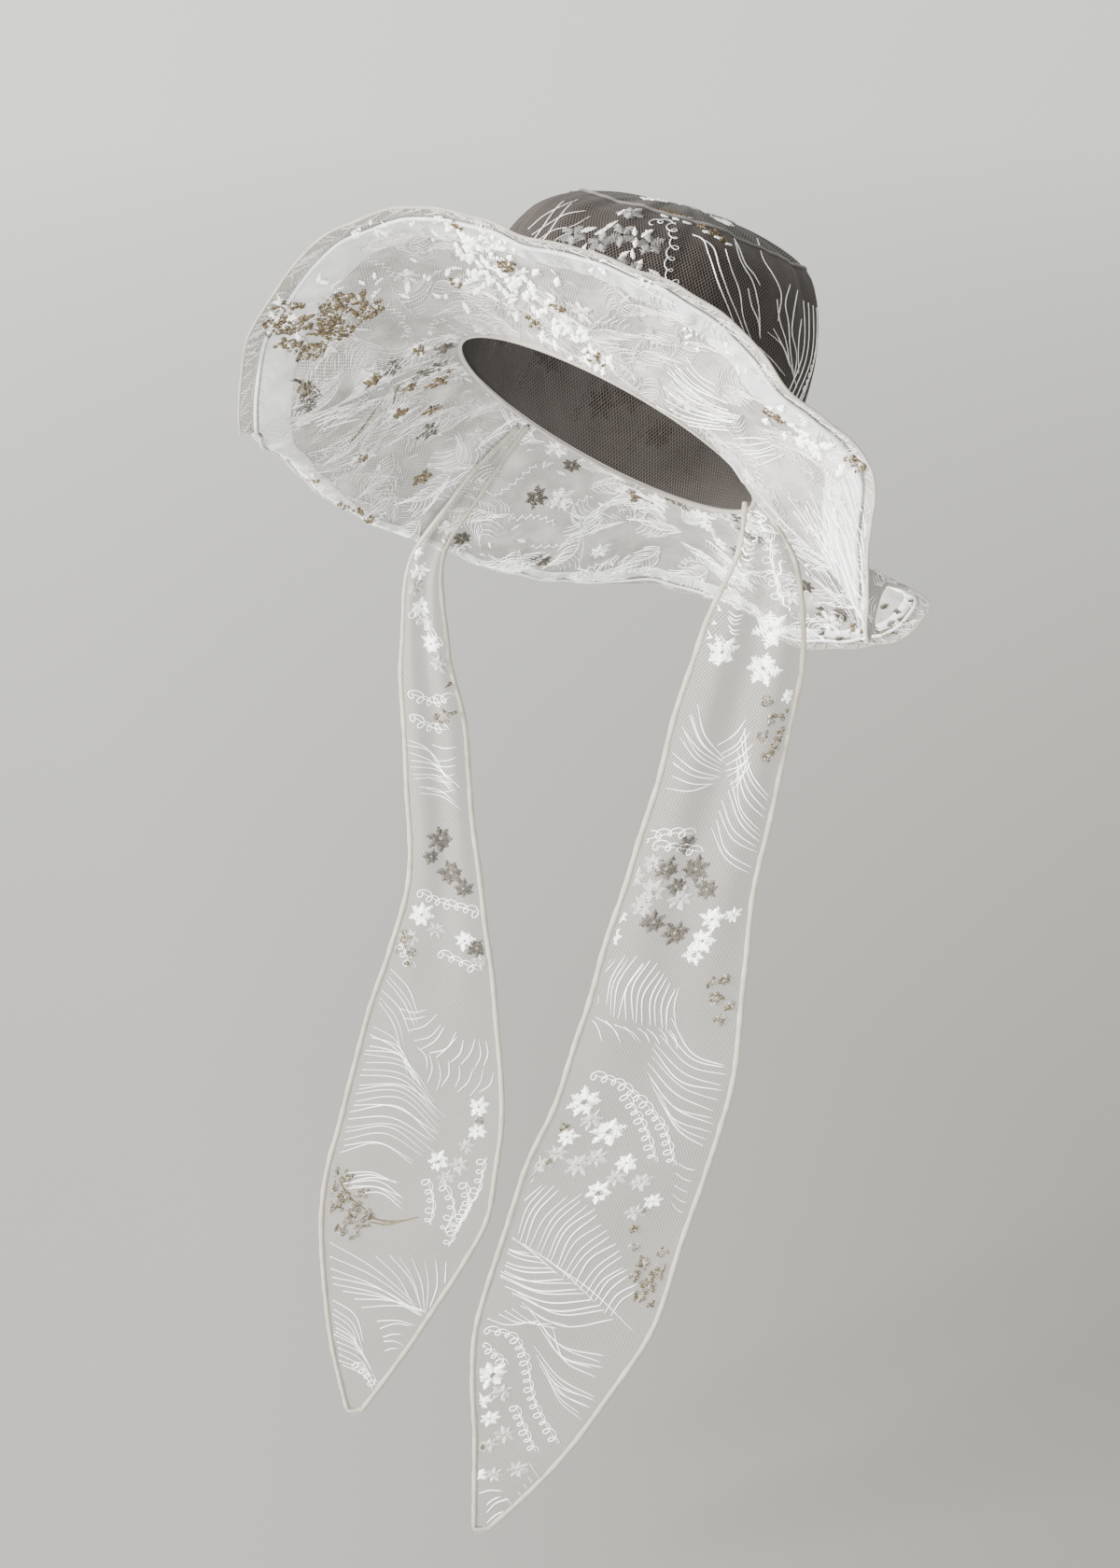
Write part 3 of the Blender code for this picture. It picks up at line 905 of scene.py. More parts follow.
class Sewing:
    """The stitches of one thread on one cloth, on its outer (1) or inner (-1) face."""

    def __init__(self, cloth, face, above, low=0.01, high=0.985, edge=0.05, sides=3):
        self.cloth = cloth
        self.face = face
        self.above = above
        self.low, self.high, self.edge = low, high, edge
        self.sides = sides
        self.stitches = []

    def add(self, stitches):
        self.stitches += stitches

    def mesh(self, name):
        """One mesh of ridges; what runs off the cloth is cut away."""
        counts = [len(s.line) for s in self.stitches]
        line = np.concatenate([s.line for s in self.stitches])
        width = np.concatenate([s.width * np.ones(n) for s, n in zip(self.stitches, counts)])
        height = np.concatenate([s.height * np.ones(n) for s, n in zip(self.stitches, counts)])
        owner = np.repeat(np.arange(len(counts)), counts)
        a, b = self.cloth.from_flat(line[:, 0], line[:, 1])
        inside = (b > self.low) & (b < self.high)
        if not self.cloth.closed:
            inside &= (a > self.edge) & (a < 1 - self.edge)
        cut = np.concatenate([[0], np.cumsum(~inside)[:-1]])
        owner = owner * (len(line) + 1) + cut
        width, height, a, b, owner = (x[inside] for x in (width, height, a, b, owner))
        _, place, size = np.unique(owner, return_inverse=True, return_counts=True)
        long_enough = size[place] > 1
        width, height, a, b, owner = (x[long_enough] for x in (width, height, a, b, owner))

        count = len(owner)
        index = np.arange(count)
        joined = owner[1:] == owner[:-1]
        after = np.where(np.append(joined, False), index + 1, index)
        before = np.where(np.append(False, joined), index - 1, index)
        facing = self.cloth.facing(a, b) * self.face
        above = self.above(a, b) if callable(self.above) else np.full(count, self.above)
        centre = self.cloth.at(a, b) + facing * (above * MM)[:, None]
        along = centre[after] - centre[before]
        along /= np.maximum(np.linalg.norm(along, axis=1, keepdims=True), 1e-12)
        aside = np.cross(facing, along) * (width * MM / 2)[:, None]
        raised = facing * (height * MM)[:, None]
        ring = [centre - aside, centre + raised, centre + aside]
        if self.sides == 4:
            ring.append(centre - raised * 0.7)
        sides = len(ring)
        points = np.stack(ring, 1).reshape(-1, 3)
        start = index[:-1][joined]
        quads = np.concatenate([
            np.stack([start * sides + k, start * sides + (k + 1) % sides,
                      (start + 1) * sides + (k + 1) % sides, (start + 1) * sides + k], 1)
            for k in range(sides)
        ]).tolist()
        first = index[np.append(True, ~joined)]
        last = index[np.append(~joined, True)]
        caps = [[f * sides + k for k in reversed(range(sides))] for f in first.tolist()]
        caps += [[f * sides + k for k in range(sides)] for f in last.tolist()]
        return mesh_of(name, points, quads + caps)


def add_stitches(name, sewing, thread, slot):
    """Add the stitches of one thread as one piece."""
    return add_piece(name, sewing.mesh(name), thread, slot)


print("sewing ready")

# %% [markdown]
# ## The lace's motifs
# Lace like this is drawn from a few old ornaments: pointed star flowers in satin stitch,
# feather fronds, chains of loops, wandering lines, and knots of metal thread. Each is a short
# function that returns stitches about its own middle, in millimetres. A seeded random source
# makes no two alike and gives the same hat each time.

# %% Satin leaves, petals and flowers
LEAF_STEP = 1.0


def satin_leaf(random, start, length, width, step=LEAF_STEP):
    """A pointed leaf along +x: short threads laid side by side across it."""
    stitches = []
    count = max(4, round(length / step))
    for i in range(count):
        share = (i + 0.5) / count
        half = width / 2 * sin(pi * share**0.8) * random.uniform(0.75, 1.2)
        x = start + share * length
        slant = half * random.uniform(0.1, 0.6)
        line = np.array(((x - slant, -half), (x, 0.0), (x + slant, half)))
        wide = step * random.uniform(0.8, 1.05) * np.array((0.7, 1.0, 0.7))
        stitches.append(Stitch(line, wide, random.uniform(0.5, 0.9) * np.array((0.3, 1.0, 0.3))))
    return stitches


def bright_leaf(random):
    """A bold leaf of thick separate threads, as sewn over the finer ones."""
    length = random.uniform(9.0, 12.5)
    return satin_leaf(random, -length / 2, length, length * random.uniform(0.36, 0.48), 1.45)


def star_flower(random, size, petals=7):
    """Pointed uneven petals of satin stitch round an open middle."""
    stitches = []
    turn = random.uniform(0, 2 * pi)
    for k in range(petals):
        long = size * random.uniform(0.33, 0.47)
        leaf = satin_leaf(random, size * 0.05, long, size * random.uniform(0.22, 0.32))
        stitches += turned(leaf, 0, 0, turn + 2 * pi * (k + random.uniform(-0.2, 0.2)) / petals)
    return stitches


def petal_flower(random, size, petals=5):
    """Broad round petals that lie close to each other."""
    stitches = []
    turn = random.uniform(0, 2 * pi)
    for k in range(petals):
        leaf = satin_leaf(random, size * 0.06, size * random.uniform(0.38, 0.46), size * 0.36, 0.8)
        stitches += turned(leaf, 0, 0, turn + 2 * pi * (k + random.uniform(-0.15, 0.15)) / petals)
    return stitches


# %% Lines, loops and squiggles


def smooth_line(places, count):
    """Points at even steps on a smooth line through a few places."""
    places = np.asarray(places, float)
    steps = np.linalg.norm(np.diff(places, axis=0), axis=1)
    run = np.concatenate([[0.0], np.cumsum(np.maximum(steps, 1e-6))])
    if len(places) == 2:
        share = np.linspace(0, 1, count)[:, None]
        return places[0] * (1 - share) + places[1] * share
    slopes = np.gradient(places, run, axis=0)
    at = np.linspace(0, run[-1], count)
    i = np.clip(np.searchsorted(run, at, side="right") - 1, 0, len(run) - 2)
    step = (run[i + 1] - run[i])[:, None]
    u = ((at - run[i]) / step[:, 0])[:, None]
    value = (2 * u**3 - 3 * u**2 + 1) * places[i] + (3 * u**2 - 2 * u**3) * places[i + 1]
    return value + step * ((u**3 - 2 * u**2 + u) * slopes[i] + (u**3 - u**2) * slopes[i + 1])


def thread_line(places, width=0.9, height=0.5, step=2.5):
    """One tapered stitch along a smooth line through some places."""
    places = np.asarray(places, float)
    length = np.linalg.norm(np.diff(places, axis=0), axis=1).sum()
    count = max(3, ceil(length / step) + 1)
    return Stitch(smooth_line(places, count), width * taper(count), height)


def loop_line(places, radius=2.1, spacing=5.0, width=0.55):
    """A chain of round loops along a line."""
    base = smooth_line(places, 60)
    run = np.concatenate([[0.0], np.cumsum(np.linalg.norm(np.diff(base, axis=0), axis=1))])
    loops = max(2, round(run[-1] / spacing))
    at = np.linspace(0, run[-1], loops * 9)
    middle = np.stack([np.interp(at, run, base[:, k]) for k in (0, 1)], 1)
    angle = np.linspace(0, 2 * pi * loops, len(at))
    grow = radius * (1 + 0.18 * np.sin(angle * 0.37))
    circle = np.stack([np.cos(angle) * grow, np.sin(angle) * grow], 1)
    return Stitch(middle + circle, np.full(len(at), width), 0.4)


def squiggle(places, reach=2.4, spacing=5.2, width=0.6):
    """A line that wanders from side to side in round bends."""
    base = smooth_line(places, 60)
    run = np.concatenate([[0.0], np.cumsum(np.linalg.norm(np.diff(base, axis=0), axis=1))])
    bends = max(1, round(run[-1] / spacing))
    at = np.linspace(0, run[-1], bends * 10)
    middle = np.stack([np.interp(at, run, base[:, k]) for k in (0, 1)], 1)
    along = np.gradient(middle, axis=0)
    along /= np.maximum(np.linalg.norm(along, axis=1, keepdims=True), 1e-9)
    across = np.stack([-along[:, 1], along[:, 0]], 1)
    angle = np.linspace(0, 2 * pi * bends, len(at))
    line = middle + across * (reach * np.sin(angle))[:, None] + along * (0.9 * np.sin(2 * angle))[:, None]
    return Stitch(line, np.full(len(at), width), 0.4)


# %% Feathers and knots


def feather(random, length, reach, bend, barbs=16, sides=(-1, 1)):
    """A curved spine along +x with long thin strokes that sweep forward from it."""
    spine = smooth_line(((0, 0), (length * 0.5, bend), (length, 0)), 40)
    stitches = [thread_line(spine[::6], 0.8)]
    for i in range(barbs):
        share = 0.04 + 0.86 * i / (barbs - 1)
        root = spine[round(share * 39)]
        for side in sides:
            long = reach * (0.55 + 0.6 * sin(pi * share)) * random.uniform(0.75, 1.15)
            lean = random.uniform(0.5, 0.75)
            middle = root + np.array((long * 0.5 * lean, side * long * 0.42))
            end = root + np.array((long * (lean + 0.35), side * long * random.uniform(0.62, 0.78)))
            stitches.append(thread_line((root, middle, end), random.uniform(0.5, 0.9), 0.42))
    return stitches


def knots(random, radius, density=1.0, scale=1.0):
    """A patch of small raised knots, each a tiny ring of thread."""
    stitches = []
    middles = []
    for _ in range(round(density * 4.5 * (radius / scale) ** 2)):
        place = random.normal(0, radius * 0.5, 2)
        if all(hypot(*(place - other)) > 0.85 * scale for other in middles):
            middles.append(place)
    for place in middles:
        size = scale * random.uniform(0.45, 0.75)
        angles = random.uniform(0, 2 * pi) + np.linspace(0, 1.8 * pi, 6)
        ring = place + size * np.stack([np.cos(angles), np.sin(angles)], 1)
        stitches.append(Stitch(ring, 0.5, random.uniform(0.4, 1.0) * scale))
    return stitches


def sprig(random, length, clusters=4):
    """A stem of metal thread with patches of knots at its end."""
    bend = length * random.uniform(-0.25, 0.25)
    stem = ((0, 0), (length * 0.5, bend), (length, 0))
    stitches = [thread_line(stem, 0.8, 0.6), thread_line(np.array(stem) + (0, 0.9), 0.7, 0.5)]
    for i in range(clusters):
        x, y = length * (0.75 + 0.25 * i / clusters), random.uniform(-1, 1) * length * 0.28
        stitches += turned(knots(random, 2.8), x, y, 0.0)
    return stitches


print("motifs ready")

# %% [markdown]
# ## Where the photograph shows a motif
# Where a motif can be seen in the photograph, it is named by its pixel there. A ray from the
# camera through that pixel meets the cloth at one flat place, and the motif is sewn on at
# that place in its true size, so it also looks right from every other side.

# %% Placing by pixel
FLAT_JUMP = 14.0


def spot(cloth, x, y, aim=0.0):
    """Flat place at a pixel and the flat direction of an angle seen there, in degrees."""
    here = cloth.seen_at(x, y)
    there = cloth.seen_at(x + 5 * cos(radians(aim)), y - 5 * sin(radians(aim)))
    if here is None or there is None:
        return None
    return here[0], here[1], float(np.arctan2(*(there - here)[::-1]))


def seen_line(cloth, pixels, count=14):
    """Flat places under a smooth line through pixels, up to the first gap."""
    found = []
    for x, y in smooth_line(pixels, count):
        place = cloth.seen_at(x, y)
        if place is None or (found and hypot(*(place - found[-1])) > FLAT_JUMP):
            if len(found) > 2:
                break
            found = []
            continue
        found.append(place)
    return np.array(found) if len(found) > 2 else None


def fan(cloth, first, last, count, random, width=0.9, height=0.5):
    """Strokes that change step by step from one line of pixels to another."""
    stitches = []
    first, last = np.array(first, float), np.array(last, float)
    for i in range(count):
        share = (i + random.uniform(-0.25, 0.25)) / max(count - 1, 1)
        line = first * (1 - share) + last * share + random.normal(0, 1.2, first.shape)
        places = seen_line(cloth, line)
        if places is not None and len(places) > 6:
            start, end = random.integers(0, 3), len(places) - random.integers(0, 3)
            stitches.append(thread_line(places[start:end], width * random.uniform(0.7, 1.15), height))
    return stitches


def plume(cloth, roots, tips, count, random, bend=0.12, width=0.85):
    """Curved barbs from one line of pixels to another; bend is a share of each barb's length."""
    stitches = []
    starts, ends = smooth_line(roots, count), smooth_line(tips, count)
    for start, end in zip(starts, ends):
        start = start + random.normal(0, 1.5, 2)
        end = end + random.normal(0, 3.0, 2)
        way = end - start
        middle = (start + end) / 2 + np.array((way[1], -way[0])) * bend * random.uniform(0.7, 1.3)
        places = seen_line(cloth, (start, middle, end), 12)
        if places is not None:
            stitches.append(thread_line(places, width * random.uniform(0.7, 1.2), 0.5))
    return stitches


def sew_motif(sewing, motif, x, y, aim=0.0, size=1.0):
    """Sew a motif at a pixel, if the camera sees the cloth there."""
    place = spot(sewing.cloth, x, y, aim)
    if place is not None:
        sewing.add(turned(motif, *place, size))


def sew_line(sewing, pixels, count, maker, *measures, shift=(0.0, 0.0)):
    """Sew one line of thread through pixels: straight, looped or wandering, as its maker draws it."""
    places = seen_line(sewing.cloth, pixels, count)
    if places is not None:
        sewing.add([maker(places + shift, *measures)])


print("placing ready")

# %% [markdown]
# ## The brim's cloth
# The brim is two layers: an outer lace and a sheer inner one, about a millimetre apart. Under
# its rim a satin tape is sewn on, slightly padded, with a raised cord along its outer edge and
# a narrow lace hem beyond that, which ends in a thin rolled rim.

# %% Brim layers
LAYER_APART = 0.45
TAPE_RISE = 1.5
TAPE_EDGE = 0.7
TAPE_PUCKERS = ((53, 0.38, 0.0), (87, 0.34, 1.0), (131, 0.2, 2.0))
TAPE_TURNS = np.arange(361)
TAPE_INNERS = [round_value(TAPE_EDGES, "inner", turn) for turn in TAPE_TURNS]
LACE_START = 0.008
LACE_END = 0.995
LINING_END = 0.95
HEM_START = 0.944
HEM_END = 0.998
BRIM_GRID = (480, 48)
TAPE_GRID = (960, 16)
HEM_GRID = (480, 4)


def tape_inner(a):
    """The tape's inner edge at shares round the brim."""
    return np.interp(np.asarray(a) % 1.0 * 360, TAPE_TURNS, TAPE_INNERS)


def tape_lift(a, b):
    """The padded tape's face below the brim, thin at its edges and puckered along it."""
    inner = tape_inner(a)
    share = np.clip((b - inner) / (TAPE_OUTER - inner), 0, 1)
    swell = np.sin(pi * share) ** 0.45
    angle = 2 * pi * a
    puckers = sum(size * np.sin(n * angle + start + 3 * b) for n, size, start in TAPE_PUCKERS)
    return -(TAPE_EDGE + TAPE_RISE * swell + puckers * swell)


add_sheet("brim_under_lace", brim, BRIM_GRID, LACE_START, LINING_END, -LAYER_APART,
          BRIM_UNDER_FINISH, "brim_net", "brim")
add_sheet("brim_over_lace", brim, BRIM_GRID, LACE_START, LACE_END, LAYER_APART,
          BRIM_OVER_FINISH, "brim_net")
add_sheet("hem_lace", brim, HEM_GRID, HEM_START, HEM_END, -LAYER_APART,
          HEM_FINISH, "brim_net", "brim_hem")
add_sheet("satin_tape", brim, TAPE_GRID, tape_inner, TAPE_OUTER, tape_lift, SATIN, "satin", "facing_tape")

# %% Cord, rim and opening edge
CORD_BELOW = 2.0
CORD_RADIUS = 1.0
RIM_PLACE = 0.997
add_ring("raised_cord", brim, CORD_PLACE, -CORD_BELOW, CORD_RADIUS, CORD_RADIUS,
         SATIN, "satin", "facing_cord")
around = 2 * pi * np.arange(RING_STEPS) / RING_STEPS
rim_half = 0.75 + 0.15 * np.sin(90 * around) * np.sin(13 * around)
add_ring("rolled_rim", brim, RIM_PLACE, 0.0, rim_half, 0.65, ROLLED_EDGE, "brim_net")
add_ring("opening_edge", brim, 0.0, -0.5, 1.3, 0.9, ROLLED_EDGE, "pale_edge", "opening_binding")

# %% [markdown]
# ## The crown's cloth
# The crown's net reads as dark taupe with paler threads: its dark ground between the threads is
# painted shade of the hollow inside the crown, with the dark hair that filled it. The band and the
# tip meet in a narrow raised seam, which shows as a ridge round the top.

# %% Crown layers
BAND_GRID = (360, 44)
TIP_GRID = (360, 30)
add_sheet("crown_band_lace", band, BAND_GRID, 0.0, 1.0, 0.0, CROWN_SHADED_FINISH, "crown_net", "crown_band")
add_sheet("crown_tip_lace", tip, TIP_GRID, 0.0, 1.0, 0.0, CROWN_SHADED_FINISH, "crown_net", "crown_tip")
add_ring("crown_seam", band, 1.0, 0.3, 1.1, 0.8, SEAM_FINISH, "crown_net")

# %% [markdown]
# ## The ties' cloth
# A tie is a single layer of clear net with a rolled edge that runs down one side, round the
# point and up the other.

# %% Tie layers
TIE_GRID = (40, 260)
EDGE_STEPS = 260
EDGE_END = 0.992
EDGE_HALF_WIDTH = 1.55
EDGE_HALF_THICK = 1.1


def dress_tie(name, cloth, wobble_start):
    """The net of one tie and the rolled edge round it."""
    net = add_sheet(name + "_net", cloth, TIE_GRID, 0.0, 1.0, 0.0, TIE_FINISH, "tie_net", name)
    share = np.linspace(0.0, EDGE_END, EDGE_STEPS)
    low, high = np.zeros(EDGE_STEPS), np.ones(EDGE_STEPS)
    down, up = cloth.at(low, share), cloth.at(high, share)[::-1]
    facing = np.concatenate([cloth.facing(low, share), cloth.facing(high, share)[::-1]])
    line = np.concatenate([down, up])
    index = np.arange(len(line))
    wobble = 1 + 0.14 * np.sin(index * 0.9 + wobble_start) * np.sin(index * 0.23)
    tube = tube_mesh(name + "_edge", line, facing, EDGE_HALF_WIDTH * wobble, EDGE_HALF_THICK * wobble, False)
    edge = add_piece(name + "_edge", tube, ROLLED_EDGE, "pale_edge", name + "_binding")
    return net, edge


left_net, left_edge = dress_tie("tie_left", tie_left, 0.0)
right_net, right_edge = dress_tie("tie_right", tie_right, 2.0)

# %% [markdown]
# ## Embroidery on the crown
# White leaves and grey flowers lie at the front of the crown, then a chain of loops, then
# long wavy strokes that run down to the brim, with knots of gold along the seam. A motif is
# tried on the band and on the tip, and is sewn on the one that the camera sees there. The
# unseen sides carry the same ornaments, set out on the flat pattern.

# %% Crown embroidery
random = np.random.default_rng(7)
band_white = Sewing(band, 1, 0.1)
band_grey = Sewing(band, 1, 0.1)
tip_white = Sewing(tip, 1, 0.1, 0.02, 0.97)
tip_grey = Sewing(tip, 1, 0.1, 0.02, 0.97)
band_gold = Sewing(band, 1, 0.1)
tip_gold = Sewing(tip, 1, 0.1, 0.02, 0.97)

# Each row holds a pixel of the photograph, then an aim in degrees or a size in millimetres.
CROWN_LEAVES = [
    (645, 248, 25), (655, 241, 30), (666, 228, 35), (631, 246, 10), (626, 266, 60), (636, 271, 150),
    (680, 248, 90), (681, 260, 80), (678, 272, 95), (694, 250, 30), (669, 273, 35), (685, 284, 60),
    (690, 295, 20), (701, 292, 150),
]
for x, y, aim in CROWN_LEAVES:
    for sewing in (band_white, tip_white):
        sew_motif(sewing, bright_leaf(random), x, y, aim, 0.72)
CROWN_FLOWERS = ((643, 260), (667, 252), (696, 262), (672, 288), (614, 252), (676, 228))
for x, y in CROWN_FLOWERS:
    for sewing in (band_grey, tip_grey):
        sew_motif(sewing, petal_flower(random, 17), x, y)

CROWN_KNOTS = [
    (706, 226, 3.0), (718, 229, 3.4), (730, 233, 2.6), (752, 243, 2.6), (764, 249, 3.2), (775, 256, 2.4),
]
for x, y, radius in CROWN_KNOTS:
    for gold, white in ((band_gold, band_white), (tip_gold, tip_white)):
        sew_motif(gold, knots(random, radius), x, y)
        sew_motif(white, bright_leaf(random), x + 6, y + 6, -20, 0.55)

CROWN_STROKES = [
    ((742, 252), (752, 256), (759, 272), (770, 305), (780, 330), (787, 349)),
    ((751, 256), (762, 263), (771, 288), (780, 314), (791, 340), (797, 356)),
    ((777, 267), (783, 288), (792, 312), (796, 340), (804, 363)),
    ((783, 251), (791, 265), (799, 284), (808, 295), (814, 306)),
    ((785, 251), (794, 281), (806, 302), (812, 326), (814, 356)),
    ((811, 256), (818, 279), (828, 295), (836, 312), (833, 344)),
    ((801, 309), (805, 328), (812, 344), (814, 363)),
    ((846, 305), (841, 326), (844, 344), (846, 372), (850, 405)),
    ((854, 311), (850, 335), (848, 354), (853, 382), (849, 410)),
    ((832, 321), (835, 344), (841, 363), (846, 393)),
    ((858, 342), (855, 368), (855, 400)),
    ((822, 356), (836, 368), (846, 393)),
    ((813, 372), (827, 386), (841, 403)),
    ((828, 352), (838, 370), (846, 390), (853, 415)),
]
for pixels in CROWN_STROKES:
    for sewing in (band_white, tip_white):
        sew_line(sewing, pixels, 22, thread_line, 0.62, 0.45, 2.0)
CROWN_SWIRLS = [
    ((566, 246), (582, 232), (600, 222), (620, 214)),
    ((570, 252), (588, 240), (606, 230), (628, 226)),
    ((576, 258), (596, 246), (612, 243), (632, 232)),
    ((590, 262), (600, 254), (612, 250)),
    ((708, 228), (724, 231), (742, 234)),
]
for pixels in CROWN_SWIRLS:
    for sewing in (band_white, tip_white):
        sew_line(sewing, pixels, 14, thread_line, 0.3, 0.3, 1.5)
CROWN_LOOPS = [((719, 240), (722, 262), (716, 285), (726, 314)), ((717, 239), (706, 237), (696, 240))]
for pixels in CROWN_LOOPS:
    for sewing in (band_white, tip_white):
        sew_line(sewing, pixels, 14, loop_line, 2.5, 6.6, 0.45)
print(len(band_white.stitches), "white stitches on the band,", len(tip_white.stitches), "on the tip")

# %% The crown's unseen sides
for start in (152, 158, 165, 171, 540, 547):
    line = ((start, 94), (start + 5, 66), (start - 2, 40), (start + 3, 14))
    band_white.add([thread_line(line, 0.75, 0.45)])
for turn in range(120, 312, 24):
    x = 2 * pi * BAND_RADIUS * turn / 360
    band_white.add(turned(star_flower(random, 21), x, 34 + 40 * random.random(), 0))
    band_grey.add(turned(star_flower(random, 19), x + 14, 22 + 14 * random.random(), 0))
    band_white.add([loop_line(((x - 12, 12), (x - 16, 45), (x - 10, 80)), 2.0, 3.6)])
    for k in range(random.integers(2, 6)):
        start = x + 4 + 6 * k + random.uniform(-2, 2)
        top, low = 96 - random.uniform(0, 22), 10 + random.uniform(0, 24)
        line = ((start, top), (start + 4, 66), (start - random.uniform(0, 4), 40), (start + 3, low))
        band_white.add([thread_line(line, 0.55, 0.4)])
for turn in range(0, 360, 60):
    angle = radians(turn)
    tip_white.add(turned(star_flower(random, 17), 38 * sin(angle), 38 * cos(angle), 0))
    tip_grey.add(turned(petal_flower(random, 17), 18 * sin(angle + 0.5), 18 * cos(angle + 0.5), 0))
    if turn in (120, 180):
        fern = feather(random, 30, 12, 5, 9)
        tip_white.add(turned(fern, 46 * sin(angle + 0.4), 46 * cos(angle + 0.4), angle + 1.2))
print(len(band_white.stitches), "white stitches on the band,", len(tip_white.stitches), "on the tip")

# %% Crown thread pieces
add_stitches("crown_band_white", band_white, WHITE_THREAD, "crown_net")
add_stitches("crown_band_grey", band_grey, SILVER_THREAD, "crown_net")
add_stitches("crown_tip_white", tip_white, WHITE_THREAD, "crown_net")
add_stitches("crown_tip_grey", tip_grey, SILVER_THREAD, "crown_net")
add_stitches("crown_band_gold", band_gold, GOLD_THREAD, "crown_net")
add_stitches("crown_tip_gold", tip_gold, GOLD_THREAD, "crown_net")

# %% [markdown]
# ## Embroidery under the brim
# The side of the brim that faces the viewer is its underside. White leaves and knots of
# metal thread run along it, feather strokes fan toward the flap, and a few flowers with gold
# middles sit in the hollow on the other side. Where flap and flare meet, small dark leaves lie
# close: partly the flare's own embroidery, partly painted shade under the flap.

# %% Where the underside's stitches lie
RISE_PLACES = (0.0, TAPE_OUTER, CORD_PLACE, 0.946, 1.0)
RISE_HEIGHTS = (0.55, 0.9, 3.1, 0.75, 0.65)


def under_rise(a, b):
    """How far below the brim's middle the lowest layer lies, over tape and cord."""
    over_tape = (b > tape_inner(a)) & (b < TAPE_OUTER)
    return np.where(over_tape, 0.1 - tape_lift(a, b), np.interp(b, RISE_PLACES, RISE_HEIGHTS))


print("tape stands", round(-float(tape_lift(0.25, 0.8)), 2), "mm below the brim's middle")

# %% Underside embroidery by pixel
random = np.random.default_rng(11)
under_white = Sewing(brim, -1, under_rise)
under_gold = Sewing(brim, -1, under_rise)
under_grey = Sewing(brim, -1, under_rise)
under_pale = Sewing(brim, -1, under_rise)
under_silver = Sewing(brim, -1, under_rise)

UNDER_LEAVES = [
    (547, 275, 60), (553, 304, 70), (573, 330, 80), (582, 359, 85), (564, 317, 50), (590, 322, 30),
    (628, 359, 70), (634, 372, 100), (647, 398, 80), (638, 411, 60), (605, 346, 40), (541, 262, 20),
    (536, 290, 100), (560, 290, 10), (526, 300, 45), (520, 278, 120), (505, 262, 60), (516, 252, 10),
    (498, 246, 80), (484, 240, 35), (512, 310, 50), (500, 328, 110), (490, 300, 60), (596, 368, 100),
    (612, 386, 70), (575, 290, 45), (598, 300, 80), (470, 232, 30), (826, 436, 40), (838, 448, 70),
    (850, 452, 30), (858, 470, 60), (842, 464, 100), (866, 462, 20), (872, 478, 50), (880, 486, 80),
    (905, 500, 60), (892, 474, 20), (822, 450, 70), (654, 384, 60),
]
for x, y, aim in UNDER_LEAVES:
    sew_motif(under_white, bright_leaf(random), x, y, aim)
# Patches dense with leaves: two end pixels, how wide, how many leaves, how large.
LEAF_PATCHES = [
    ((478, 236), (560, 262), 34, 40, 0.75), ((500, 262), (560, 322), 44, 50, 0.85),
    ((548, 290), (650, 395), 26, 40, 0.85), ((842, 446), (884, 482), 26, 18, 0.95),
    ((340, 246), (470, 236), 22, 20, 0.6), ((356, 300), (466, 300), 44, 18, 0.6),
    ((600, 256), (700, 300), 24, 12, 0.6), ((290, 330), (325, 362), 26, 16, 0.8),
    ((730, 350), (800, 400), 34, 12, 0.5),
]
for first, last, spread, count, size in LEAF_PATCHES:
    for _ in range(count):
        share = random.random()
        x = first[0] + (last[0] - first[0]) * share + random.normal(0, spread / 3)
        y = first[1] + (last[1] - first[1]) * share + random.normal(0, spread / 3)
        leaf, aim = bright_leaf(random), random.normal(70, 45)
        sew_motif(under_white, leaf, x, y, aim, size * random.uniform(0.7, 1.15))
UNDER_KNOTS = [
    (359, 322, 3.6), (384, 318, 2.4), (397, 332, 3.4), (354, 347, 3.8), (362, 357, 3.0), (332, 374, 2.8),
    (345, 367, 2.6), (366, 318, 3.2), (381, 318, 2.8), (394, 330, 3.6), (388, 338, 2.8), (363, 330, 3.4),
    (353, 343, 3.6), (346, 352, 3.0), (370, 350, 3.0), (340, 374, 2.8), (326, 378, 2.4), (320, 338, 3.0),
    (330, 346, 2.6), (296, 352, 2.8), (306, 362, 2.8), (302, 324, 2.2), (317, 324, 2.2), (310, 349, 3.4),
    (292, 344, 2.6), (312, 369, 2.4), (300, 336, 2.6), (350, 336, 3.0), (494, 237, 2.4), (546, 281, 2.8),
    (489, 302, 2.2), (543, 284, 2.2), (573, 343, 2.4), (638, 382, 3.0), (830, 441, 3.0), (838, 447, 2.2),
    (915, 489, 2.4), (924, 497, 2.4), (600, 330, 2.0), (337, 511, 2.2), (369, 538, 2.6), (383, 545, 2.2),
    (397, 552, 2.4), (433, 578, 2.4), (415, 565, 2.0), (398, 407, 2.0), (447, 372, 1.8), (427, 441, 1.8),
    (387, 490, 1.8),
]
for x, y, radius in UNDER_KNOTS:
    sew_motif(under_gold, knots(random, radius * 1.4, 1.2, 1.5), x, y)
    sew_motif(under_pale, knots(random, radius, 0.5, 1.3), x, y)
UNDER_STEMS = [
    ((322, 357), (350, 356), (369, 354), (399, 334)), ((320, 372), (340, 368), (352, 362)),
    ((374, 474), (389, 456), (404, 434)), ((420, 432), (424, 418), (430, 408)), ((449, 445), (474, 435)),
]
for pixels in UNDER_STEMS:
    sew_line(under_gold, pixels, 14, thread_line, 0.9, 0.5)
    sew_line(under_gold, pixels, 14, thread_line, 0.8, 0.5, shift=(0.9, 0.9))
UNDER_FLOWERS = [(398, 407, 26), (447, 374, 18), (427, 441, 18), (387, 490, 17), (440, 410, 16)]
